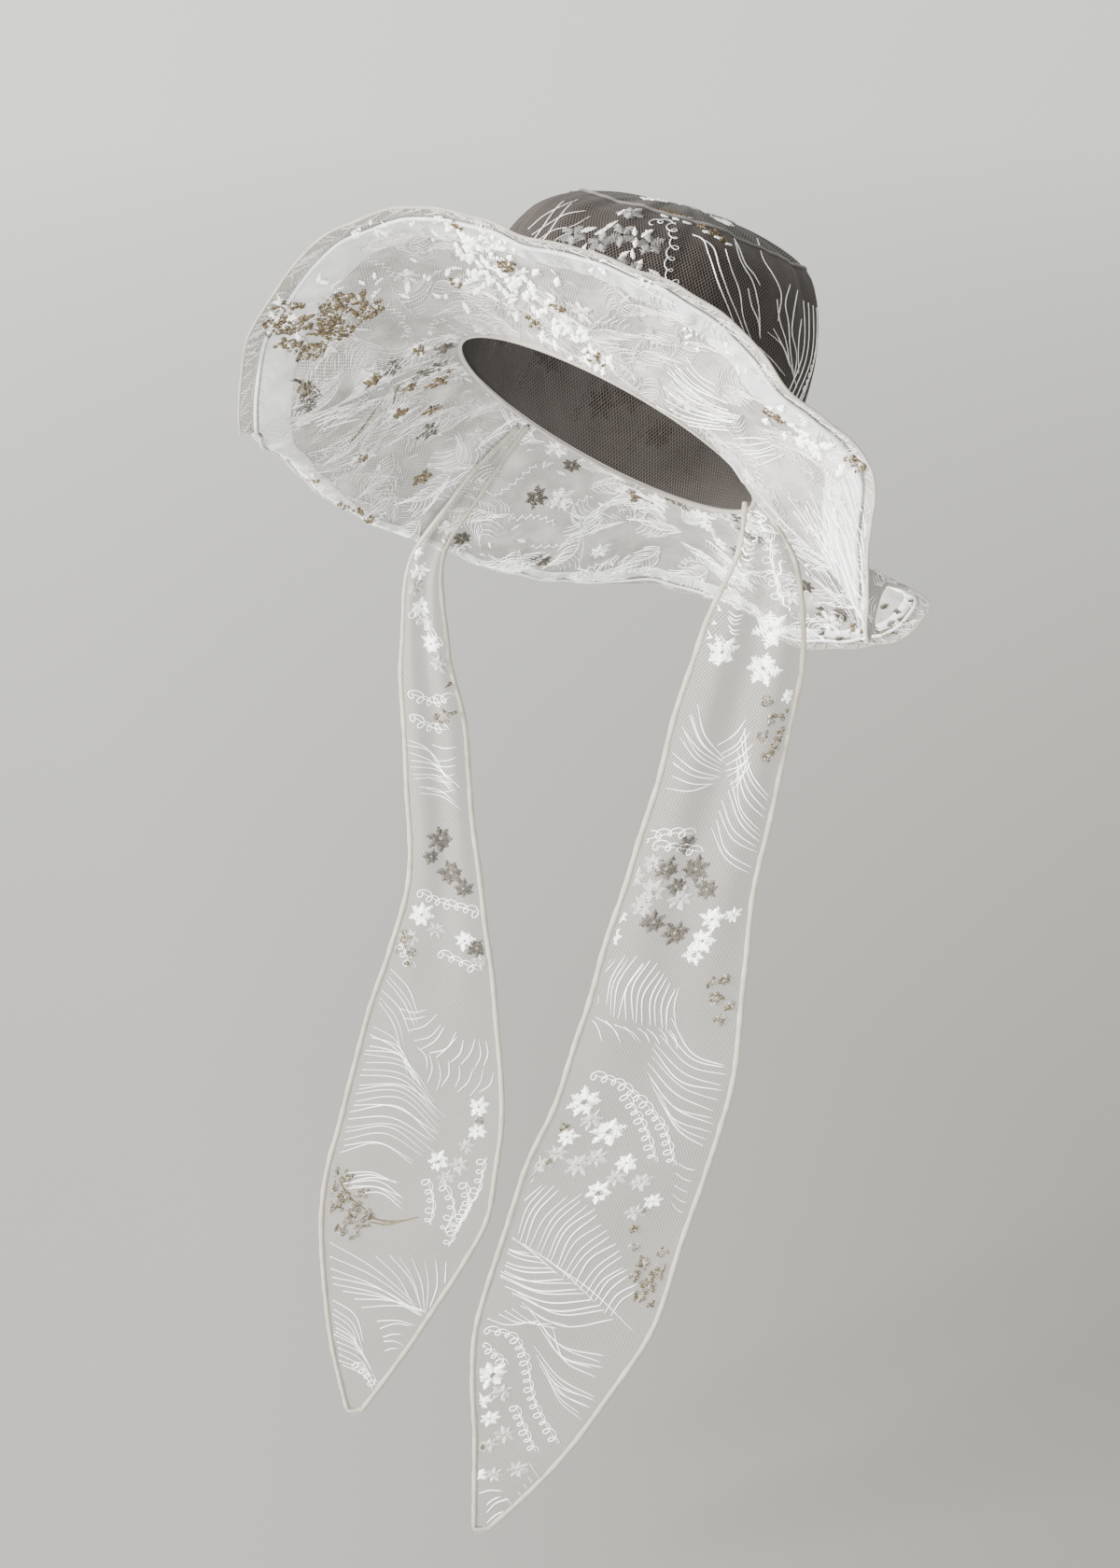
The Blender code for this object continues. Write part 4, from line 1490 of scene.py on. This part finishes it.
for x, y, size in UNDER_FLOWERS:
    sew_motif(under_pale, star_flower(random, size), x, y)
    middle = [Stitch(s.line, s.width, s.height * 2.5) for s in petal_flower(random, size * 0.42)]
    sew_motif(under_gold, middle, x, y)
UNDER_BUDS = [(469, 408, 15), (478, 396, 11), (437, 415, 10), (452, 511, 11), (462, 438, 9), (325, 417, 9)]
for x, y, size in UNDER_BUDS:
    sew_motif(under_gold, petal_flower(random, size), x, y)
UNDER_STARS = [(420, 392), (452, 400), (468, 392), (476, 372), (460, 460), (330, 430)]
for x, y in UNDER_STARS:
    sew_motif(under_grey, star_flower(random, 15, 6), x, y)

# Dark leaves crowd the flare: partly its own embroidery, partly painted shade where the flap hides it from
# the light.
FLARE_ACROSS = (880, 990)
FLARE_DOWN = (640, 692)
for _ in range(26):
    x, y = random.uniform(*FLARE_ACROSS), random.uniform(*FLARE_DOWN)
    leaf = satin_leaf(random, -4.0, random.uniform(6, 10), 3.6, 0.8)
    sew_motif(under_grey if random.random() < 0.6 else under_gold, leaf, x, y, random.uniform(-40, 60))
print(len(under_white.stitches), "white and", len(under_gold.stitches), "gold stitches under the brim")

# %% Fans of strokes under the brim
FLAP_OUTER = ((915, 500), (926, 550), (930, 610), (930, 676))
FLAP_INNER = ((838, 585), (870, 612), (900, 648), (926, 680))
# Each fan: its thread, first and last line, how many strokes, how wide and how high.
FANS = [
    (under_white, FLAP_INNER, FLAP_OUTER, 18, 0.6, 0.5),
    (under_silver, FLAP_INNER, FLAP_OUTER, 14, 0.4, 0.3),
    (under_white, ((838, 530), (862, 560), (884, 604), (906, 650)),
     ((892, 520), (900, 560), (904, 600), (918, 660)), 10, 0.5, 0.5),
    (under_white, ((720, 386), (745, 412), (770, 428), (796, 438)),
     ((701, 447), (730, 459), (758, 463), (780, 462)), 11, 0.8, 0.5),
    (under_white, ((738, 384), (752, 400), (768, 412)), ((712, 398), (740, 426), (772, 440)), 6, 0.7, 0.5),
    (under_white, ((786, 468), (804, 470), (824, 468)), ((806, 500), (822, 494), (840, 486)), 6, 0.7, 0.5),
    (under_white, ((600, 240), (640, 252), (690, 276), (740, 300)),
     ((600, 262), (640, 280), (690, 306), (740, 330)), 7, 0.8, 0.35),
    (under_white, ((340, 460), (360, 452), (385, 448)), ((335, 446), (355, 440), (380, 436)), 4, 0.9, 0.5),
    (under_grey, ((307, 404), (320, 410), (332, 425)), ((330, 408), (340, 416), (347, 428)), 6, 0.9, 0.35),
]
for sewing, first, last, count, width, height in FANS:
    sewing.add(fan(brim, first, last, count, random, width, height))
print(len(FANS), "fans of strokes")

# %% [markdown]
# ## The lace's ground
# Between the large motifs the lace is never bare: pale feathers, loops and squiggles cover
# it. They are strewn over the flat ring from a seeded random source, on both of its faces.

# %% Ground embroidery of the brim
random = np.random.default_rng(23)
over_white = Sewing(brim, 1, 0.55)
over_gold = Sewing(brim, 1, 0.55)
over_grey = Sewing(brim, 1, 0.55)
GROUND_STEP = 14


def finer(stitches, share):
    """The same stitches in a finer thread."""
    return [Stitch(s.line, s.width * share, s.height * share) for s in stitches]


def strew(random, white, gold, grey, turn, radius, seen):
    """One patch of the lace's repeat at a place on the flat ring, finer where it is seen close."""
    angle = radians(turn)
    x, y = radius * sin(angle), radius * cos(angle)
    aim = random.uniform(0, 2 * pi)
    pick = random.random()
    share = 0.7 if seen else 0.8
    bend = random.uniform(-8, 8)
    if pick < 0.42:
        motif = feather(random, random.uniform(24, 38), 12, 6, 11)
    elif pick < 0.58:
        motif = [squiggle(((-14, 0), (0, bend), (14, 0)), 1.8, 5.0)]
    elif pick < 0.72:
        motif = [loop_line(((-12, 0), (0, 4), (12, 0)))]
    elif pick < 0.90:
        motif = turned(bright_leaf(random), 0, 0, 0, 0.6) + turned(bright_leaf(random), 9, bend, 1.0, 0.5)
    else:
        motif = star_flower(random, random.uniform(15, 20))
        if not seen and random.random() < 0.6:
            small = star_flower(random, random.uniform(13, 16))
            grey.add(turned(small, x + 15 * cos(aim), y + 15 * sin(aim), 0))
        if not seen and random.random() < 0.2:
            gold.add(turned(sprig(random, 16, 3), x - 8 * cos(aim), y - 8 * sin(aim), aim + 2))
    white.add(turned(finer(motif, share), x, y, aim))


for turn in range(0, 360, 9):
    for radius in range(100, 206, GROUND_STEP):
        place = turn + random.uniform(-4, 4)
        strew(random, over_white, over_gold, over_grey, place, radius + random.uniform(-5, 5), False)
        seen = place > 255 or place < 100
        strew(random, under_pale if seen else under_white, under_gold, under_grey, place,
              radius + random.uniform(-5, 5), seen)

# %% Brim thread pieces
add_stitches("brim_under_white", under_white, WHITE_THREAD, "brim_net")
add_stitches("brim_under_pale", under_pale, GROUND_THREAD, "brim_net")
add_stitches("brim_under_silver", under_silver, SILVER_THREAD, "brim_net")
add_stitches("brim_under_gold", under_gold, GOLD_THREAD, "brim_net")
add_stitches("brim_under_grey", under_grey, GREY_THREAD, "brim_net")
add_stitches("brim_over_white", over_white, WHITE_THREAD, "brim_net")
add_stitches("brim_over_gold", over_gold, GOLD_THREAD, "brim_net")
add_stitches("brim_over_grey", over_grey, PALE_THREAD, "brim_net")

# %% Short stitches on the hem
random = np.random.default_rng(31)
STITCH_FROM = OPENING_RADIUS + BRIM_WIDTH * 0.947
STITCH_TO = OPENING_RADIUS + BRIM_WIDTH * 0.994
hem = Sewing(brim, -1, 0.55, low=0.93, high=0.999, sides=4)
for turn in np.arange(0, 360, 0.8):
    angle = radians(turn + random.uniform(-0.3, 0.3))
    lean = random.normal(0, 0.03)
    start = (STITCH_FROM * sin(angle), STITCH_FROM * cos(angle))
    end = (STITCH_TO * sin(angle + lean), STITCH_TO * cos(angle + lean))
    hem.add([thread_line((start, end), random.uniform(0.4, 0.9), 0.45)])
add_stitches("hem_stitches", hem, PALE_THREAD, "brim_net")

# %% [markdown]
# ## Embroidery on the ties
# The ties hang flat, so their ornament reads clearly: clusters of star flowers ringed by
# loops, sprays of gold knots, and feathers that cross from edge to edge.

# %% Left tie flowers
random = np.random.default_rng(41)


def tie_threads(cloth):
    """White, pale, grey and gold stitches on a tie."""
    return [Sewing(cloth, 1, 0.1, low=0.005, high=0.985, edge=0.045, sides=4) for _ in range(4)]


left_threads = tie_threads(tie_left)
left_white, left_pale, left_grey, left_gold = left_threads
LEFT_WHITE_FLOWERS = [
    (774, 699, 19), (826, 674, 23), (818, 716, 20), (763, 985, 16), (753, 1008, 17), (744, 1022, 14),
    (786, 980, 10), (656, 1003, 12), (664, 980, 10), (627, 1180, 22), (652, 1212, 21), (641, 1277, 16),
    (608, 1218, 14), (671, 1246, 14), (527, 1473, 20), (515, 1502, 15), (525, 1520, 13), (513, 1580, 12),
    (700, 1287, 12), (845, 745, 9),
]
LEFT_PALE_FLOWERS = [
    (700, 955, 17), (688, 972, 15), (729, 963, 15), (664, 960, 13), (680, 940, 14), (700, 925, 14),
    (577, 1248, 16), (620, 1248, 17), (597, 1236, 14), (688, 1266, 15), (660, 1262, 14), (681, 1299, 13),
    (640, 1240, 14), (634, 1200, 16), (538, 1492, 15), (541, 1537, 15), (524, 1548, 13), (556, 1574, 15),
    (530, 1580, 12), (560, 1222, 10),
]
LEFT_GREY_FLOWERS = [
    (713, 931, 17), (745, 931, 17), (757, 953, 14), (700, 988, 16), (723, 1000, 17), (735, 905, 13),
    (724, 950, 13),
]
LEFT_FLOWERS = [
    (left_white, LEFT_WHITE_FLOWERS),
    (left_pale, LEFT_PALE_FLOWERS),
    (left_grey, LEFT_GREY_FLOWERS),
]
for sewing, flowers in LEFT_FLOWERS:
    for x, y, size in flowers:
        sew_motif(sewing, star_flower(random, size), x, y)
    print(len(flowers), "flowers,", len(sewing.stitches), "stitches")

# %% Left tie knots, rings and squiggles
LEFT_KNOTS = [
    (822, 752, 2.4), (826, 770, 2.2), (818, 790, 2.6), (830, 800, 2.4), (842, 765, 2.0), (822, 812, 2.2),
    (838, 786, 2.2), (762, 1052, 2.2), (778, 1050, 2.2), (766, 1070, 2.6), (784, 1078, 2.6),
    (772, 1090, 2.4), (788, 1100, 2.2), (681, 1334, 2.2), (709, 1341, 2.2), (690, 1352, 2.8),
    (705, 1362, 3.0), (680, 1366, 2.6), (694, 1378, 3.4), (711, 1380, 2.8), (684, 1390, 2.8),
    (704, 1396, 2.6), (716, 1356, 2.0), (627, 1180, 1.4), (652, 1212, 1.4), (605, 1206, 1.4),
    (588, 1246, 1.5), (641, 1277, 1.6), (680, 1316, 1.8), (686, 1300, 1.4), (516, 1550, 1.8),
    (527, 1473, 1.5), (512, 1508, 1.4), (723, 1000, 1.4), (700, 955, 1.4), (745, 1022, 1.4),
]
for x, y, radius in LEFT_KNOTS:
    sew_motif(left_gold, knots(random, radius * 1.25, 1.2, 1.6), x, y)
    sew_motif(left_pale, knots(random, radius, 0.4, 1.4), x, y)
LEFT_LINES = [
    (((812, 545), (818, 556), (814, 570), (806, 580)), 2.4),
    (((798, 582), (790, 600), (780, 622), (770, 644)), 3.4),
    (((772, 640), (764, 660), (757, 684)), 3.0),
    (((800, 560), (792, 588), (782, 612)), 2.0),
    (((838, 600), (834, 630), (846, 655)), 1.4),
]
for pixels, reach in LEFT_LINES:
    sew_line(left_white, pixels, 18, squiggle, reach, 6.5, 1.1)
LEFT_RINGS = [
    ((826, 560), (822, 590), (828, 620), (834, 646)), ((655, 905), (658, 930), (652, 960), (652, 985)),
    ((690, 898), (714, 892), (740, 893)), ((700, 905), (725, 908), (748, 912)),
    ((634, 1151), (662, 1160), (688, 1180)), ((688, 1180), (708, 1206), (720, 1248)),
    ((668, 1172), (688, 1206), (700, 1244)), ((594, 1182), (582, 1205), (570, 1236)),
    ((520, 1424), (549, 1432), (562, 1456)), ((562, 1456), (570, 1500), (595, 1546)),
    ((514, 1440), (528, 1450), (540, 1462)), ((550, 1505), (560, 1530), (572, 1556)),
]
for pixels in LEFT_RINGS:
    sew_line(left_white, pixels, 20, loop_line, 2.7, 6.2, 0.5)
    sew_line(left_white, pixels, 20, thread_line, 0.5, 0.3, shift=(1.6, 0.4))
print(len(left_gold.stitches), "gold stitches on the left tie")

# %% Left tie plumes
PLUME_THREAD = 0.68
# Each plume: pixels along its roots and its tips, how many barbs, their bend and their width.
LEFT_PLUMES = [
    (((776, 812), (772, 828), (764, 842)), ((748, 754), (726, 790), (717, 838)), 11, 0.10, 0.8),
    (((770, 800), (778, 822), (786, 846)), ((800, 776), (806, 800), (800, 826)), 8, -0.10, 0.75),
    (((796, 780), (786, 830), (764, 888)), ((836, 862), (822, 905), (808, 936)), 11, -0.14, 0.85),
    (((630, 1072), (672, 1094), (722, 1102)), ((652, 1026), (696, 1030), (724, 1060)), 16, 0.12, 0.8),
    (((628, 1086), (664, 1098), (716, 1104)), ((650, 1110), (690, 1120), (726, 1124)), 9, 0.10, 0.75),
    (((718, 1092), (694, 1140), (708, 1180)), ((786, 1140), (768, 1196), (759, 1232)), 12, -0.14, 0.9),
    (((724, 1248), (724, 1262), (718, 1290)), ((748, 1254), (746, 1274), (732, 1302)), 5, -0.10, 0.8),
    (((540, 1316), (592, 1356), (652, 1410)), ((572, 1262), (636, 1300), (684, 1384)), 22, 0.10, 0.7),
    (((566, 1344), (600, 1364), (656, 1412)), ((528, 1318), (524, 1356), (560, 1394)), 13, 0.12, 1.15),
    (((534, 1316), (590, 1352)), ((600, 1362), (676, 1432)), 3, 0.04, 0.9),
    (((570, 1404), (576, 1416), (590, 1424)), ((646, 1452), (640, 1466), (636, 1474)), 5, -0.16, 0.9),
    (((574, 1444), (580, 1460), (590, 1476)), ((640, 1494), (632, 1508), (622, 1522)), 7, -0.12, 0.85),
    (((524, 1412), (540, 1404), (560, 1398)), ((560, 1420), (588, 1420), (610, 1424)), 5, -0.12, 0.75),
    (((596, 1596), (580, 1606), (566, 1618)), ((572, 1568), (560, 1588), (546, 1606)), 5, 0.10, 0.7),
    (((514, 1600), (520, 1616), (524, 1630)), ((536, 1594), (542, 1606), (548, 1616)), 4, 0.10, 0.7),
    (((818, 545), (808, 600), (790, 690)), ((806, 548), (796, 602), (778, 686)), 26, 0.25, 1.1),
]
for roots, tips, count, bend, width in LEFT_PLUMES:
    left_white.add(plume(tie_left, roots, tips, count, random, bend, width * PLUME_THREAD))
print(len(LEFT_PLUMES), "plumes on the left tie")

# %% Right tie flowers, knots and rings
random = np.random.default_rng(43)
right_threads = tie_threads(tie_right)
right_white, right_pale, right_grey, right_gold = right_threads
RIGHT_WHITE_FLOWERS = [
    (445, 590, 11), (450, 612, 12), (452, 650, 13), (462, 690, 14), (481, 727, 17), (452, 980, 17),
    (498, 1008, 14), (513, 1186, 14), (512, 1212, 13), (470, 1244, 15),
]
RIGHT_PALE_FLOWERS = [
    (446, 630, 11), (458, 668, 13), (470, 712, 13), (440, 1004, 13), (468, 996, 12), (492, 1248, 14),
    (500, 1228, 11), (478, 1262, 12), (516, 1030, 12),
]
RIGHT_GREY_FLOWERS = [
    (472, 898, 17), (483, 935, 18), (496, 952, 13), (511, 1016, 15), (462, 918, 11),
]
RIGHT_FLOWERS = [
    (right_white, RIGHT_WHITE_FLOWERS),
    (right_pale, RIGHT_PALE_FLOWERS),
    (right_grey, RIGHT_GREY_FLOWERS),
]
for sewing, flowers in RIGHT_FLOWERS:
    for x, y, size in flowers:
        sew_motif(sewing, star_flower(random, size), x, y)
    print(len(flowers), "flowers,", len(sewing.stitches), "stitches")
RIGHT_KNOTS = [
    (480, 765, 2.4), (490, 757, 2.0), (470, 772, 2.0), (432, 1004, 2.6), (440, 1020, 2.4),
    (424, 1016, 2.0), (436, 1032, 1.8), (358, 1254, 2.6), (372, 1262, 2.8), (354, 1272, 3.0),
    (368, 1284, 3.4), (356, 1294, 3.0), (380, 1296, 2.8), (372, 1308, 3.0), (388, 1312, 2.8),
    (350, 1284, 2.4), (388, 1280, 2.2), (366, 1318, 2.4), (380, 1322, 2.2), (394, 1302, 2.2),
    (513, 1200, 1.6), (470, 1244, 1.4), (481, 735, 1.4),
]
for x, y, radius in RIGHT_KNOTS:
    sew_motif(right_gold, knots(random, radius * 1.25, 1.2, 1.6), x, y)
    sew_motif(right_pale, knots(random, radius, 0.4, 1.4), x, y)
RIGHT_STEMS = [
    ((388, 1300), (410, 1308), (430, 1308), (448, 1304)), ((395, 1309), (415, 1312), (432, 1308)),
    ((362, 1262), (374, 1282), (392, 1296)),
]
for pixels in RIGHT_STEMS:
    sew_line(right_gold, pixels, 14, thread_line, 1.3, 0.7)
RIGHT_RINGS = [
    ((440, 655), (455, 668), (468, 690)), ((438, 742), (462, 752), (482, 746)),
    ((440, 766), (456, 778), (476, 780)), ((517, 1240), (510, 1275), (492, 1305), (478, 1335)),
    ((456, 1262), (462, 1290), (458, 1312)), ((474, 1268), (484, 1292), (474, 1320)),
    ((496, 1266), (500, 1288), (486, 1320)), ((448, 955), (470, 966), (495, 972), (520, 982)),
    ((422, 990), (428, 1012), (440, 1036)), ((380, 1460), (395, 1475), (402, 1485)),
    ((470, 1020), (492, 1030), (512, 1040)),
]
for pixels in RIGHT_RINGS:
    sew_line(right_white, pixels, 20, loop_line, 2.7, 6.0, 0.5)
    sew_line(right_white, pixels, 20, thread_line, 0.5, 0.3, shift=(1.4, 0.4))
print(len(right_gold.stitches), "gold stitches on the right tie")

# %% Right tie plumes
RIGHT_PLUMES = [
    (((430, 790), (440, 822), (452, 850)), ((474, 826), (486, 842), (492, 862)), 9, 0.16, 0.7),
    (((492, 800), (490, 822), (488, 846)), ((466, 800), (462, 822), (458, 842)), 6, 0.10, 0.65),
    (((420, 1040), (412, 1056), (404, 1074)), ((448, 1084), (440, 1106), (430, 1128)), 6, 0.08, 0.75),
    (((428, 1082), (452, 1124), (532, 1146)), ((456, 1078), (492, 1112), (530, 1116)), 12, -0.12, 0.8),
    (((448, 1120), (476, 1138), (528, 1148)), ((454, 1150), (478, 1166), (510, 1168)), 8, 0.14, 0.75),
    (((394, 1096), (378, 1160), (364, 1236)), ((440, 1150), (474, 1206), (444, 1250)), 21, 0.18, 0.8),
    (((372, 1258), (370, 1268), (380, 1276)), ((424, 1262), (432, 1284), (430, 1294)), 7, 0.14, 1.0),
    (((346, 1330), (352, 1366), (388, 1400)), ((452, 1404), (456, 1410), (458, 1412)), 8, 0.06, 0.85),
    (((402, 1344), (440, 1346), (480, 1352)), ((446, 1402), (456, 1406), (464, 1408)), 7, 0.08, 0.75),
    (((350, 1392), (354, 1420), (366, 1462)), ((386, 1442), (394, 1464), (404, 1496)), 12, 0.16, 0.9),
    (((406, 1416), (410, 1430), (412, 1446)), ((444, 1416), (436, 1432), (428, 1446)), 5, 0.10, 0.75),
]
for roots, tips, count, bend, width in RIGHT_PLUMES:
    right_white.add(plume(tie_right, roots, tips, count, random, bend, width * PLUME_THREAD))
print(len(RIGHT_PLUMES), "plumes on the right tie")


def sew_tie(name, threads):
    """The four threads on one tie."""
    finishes = (WHITE_THREAD, PALE_THREAD, GREY_THREAD, GOLD_THREAD)
    for tone, sewing, finish in zip(("white", "pale", "grey", "gold"), threads, finishes):
        add_stitches(f"{name}_{tone}", sewing, finish, "tie_net")


sew_tie("tie_left", left_threads)
sew_tie("tie_right", right_threads)

# %% [markdown]
# ## Floor and light
# The photograph has a plain pale ground and one large soft light from the upper left. A big
# plane below the ties and a wide sun do the same. The plane's colour is painted paler with
# distance, as painted light, and darker toward the right, as a painted shadow. A soft spot near
# the floor shines up under the brim, and an even pale world fills the shadows, so that the sheer
# cloth stays bright.

# %% Stage
FLOOR_HEIGHT = -0.68
FLOOR_HALF = 60.0
FLOOR_NEAR = (0.205, 0.201, 0.190, 1.0)
FLOOR_FAR = (0.355, 0.355, 0.347, 1.0)
SHADE_NEAR = (0.112, 0.109, 0.097, 1.0)
SHADE_FAR = (0.225, 0.225, 0.218, 1.0)
TO_RIGHT = (0.83, 0.56)
floor_mesh = bpy.data.meshes.new("floor")
corners = [(x * FLOOR_HALF, y * FLOOR_HALF, FLOOR_HEIGHT) for x, y in ((-1, -1), (1, -1), (1, 1), (-1, 1))]
floor_mesh.from_pydata(corners, [], [(0, 1, 2, 3)])
floor = bpy.data.objects.new("floor", floor_mesh)
bpy.context.scene.collection.objects.link(floor)
floor_finish = Finish("pale_floor", (0.50, 0.495, 0.47), Roughness=0.9)
floor_x, floor_y = floor_finish.split(floor_finish.node("ShaderNodeTexCoord", output=3))
squared = floor_x * floor_x + floor_y * floor_y
distance = floor_finish.node("ShaderNodeMath", {"operation": "SQRT"}, {0: squared})
far_away = ((distance - 0.5) * 0.2).kept()
rightward = (floor_x * TO_RIGHT[0] + floor_y * TO_RIGHT[1]) / (distance + 0.6)
# Painted shadow: the floor's colour darkens toward the right; it is also painted lighter with distance.
shade = (rightward * 1.3 + 0.4).kept()
lit = floor_finish.mix(far_away, FLOOR_NEAR, FLOOR_FAR)
shaded = floor_finish.mix(far_away, SHADE_NEAR, SHADE_FAR)
floor_finish.drive(Base_Color=floor_finish.mix(shade, lit, shaded))
floor_mesh.materials.append(floor_finish.material)


def add_light(name, kind, place, aim, power, **settings):
    """Add a light at a place that shines toward an aim, with the settings of its kind."""
    data = bpy.data.lights.new(name, kind)
    data.energy = power
    for setting, value in settings.items():
        setattr(data, setting, value)
    light = bpy.data.objects.new(name, data)
    light.location = place
    light.rotation_euler = (Vector(aim) - Vector(place)).to_track_quat("-Z", "Y").to_euler()
    bpy.context.scene.collection.objects.link(light)
    print(name, kind, power)


add_light("window", "SUN", (-1.15, -1.75, 0.70), (0.0, 0.0, 0.0), 19.0,
          angle=radians(18), color=(1.0, 0.995, 0.98))
add_light("low_fill", "SPOT", (0.75, -1.8, -0.1), (0.0, 0.0, 0.15), 480.0,
          spot_size=radians(60), spot_blend=1.0, shadow_soft_size=0.4)
WORLD_COLOUR = (0.80, 0.80, 0.78, 1.0)
WORLD_STRENGTH = 2.4
world = bpy.data.worlds.new("studio")
world.use_nodes = True
background = world.node_tree.nodes["Background"]
background.inputs["Color"].default_value = WORLD_COLOUR
background.inputs["Strength"].default_value = WORLD_STRENGTH
bpy.context.scene.world = world
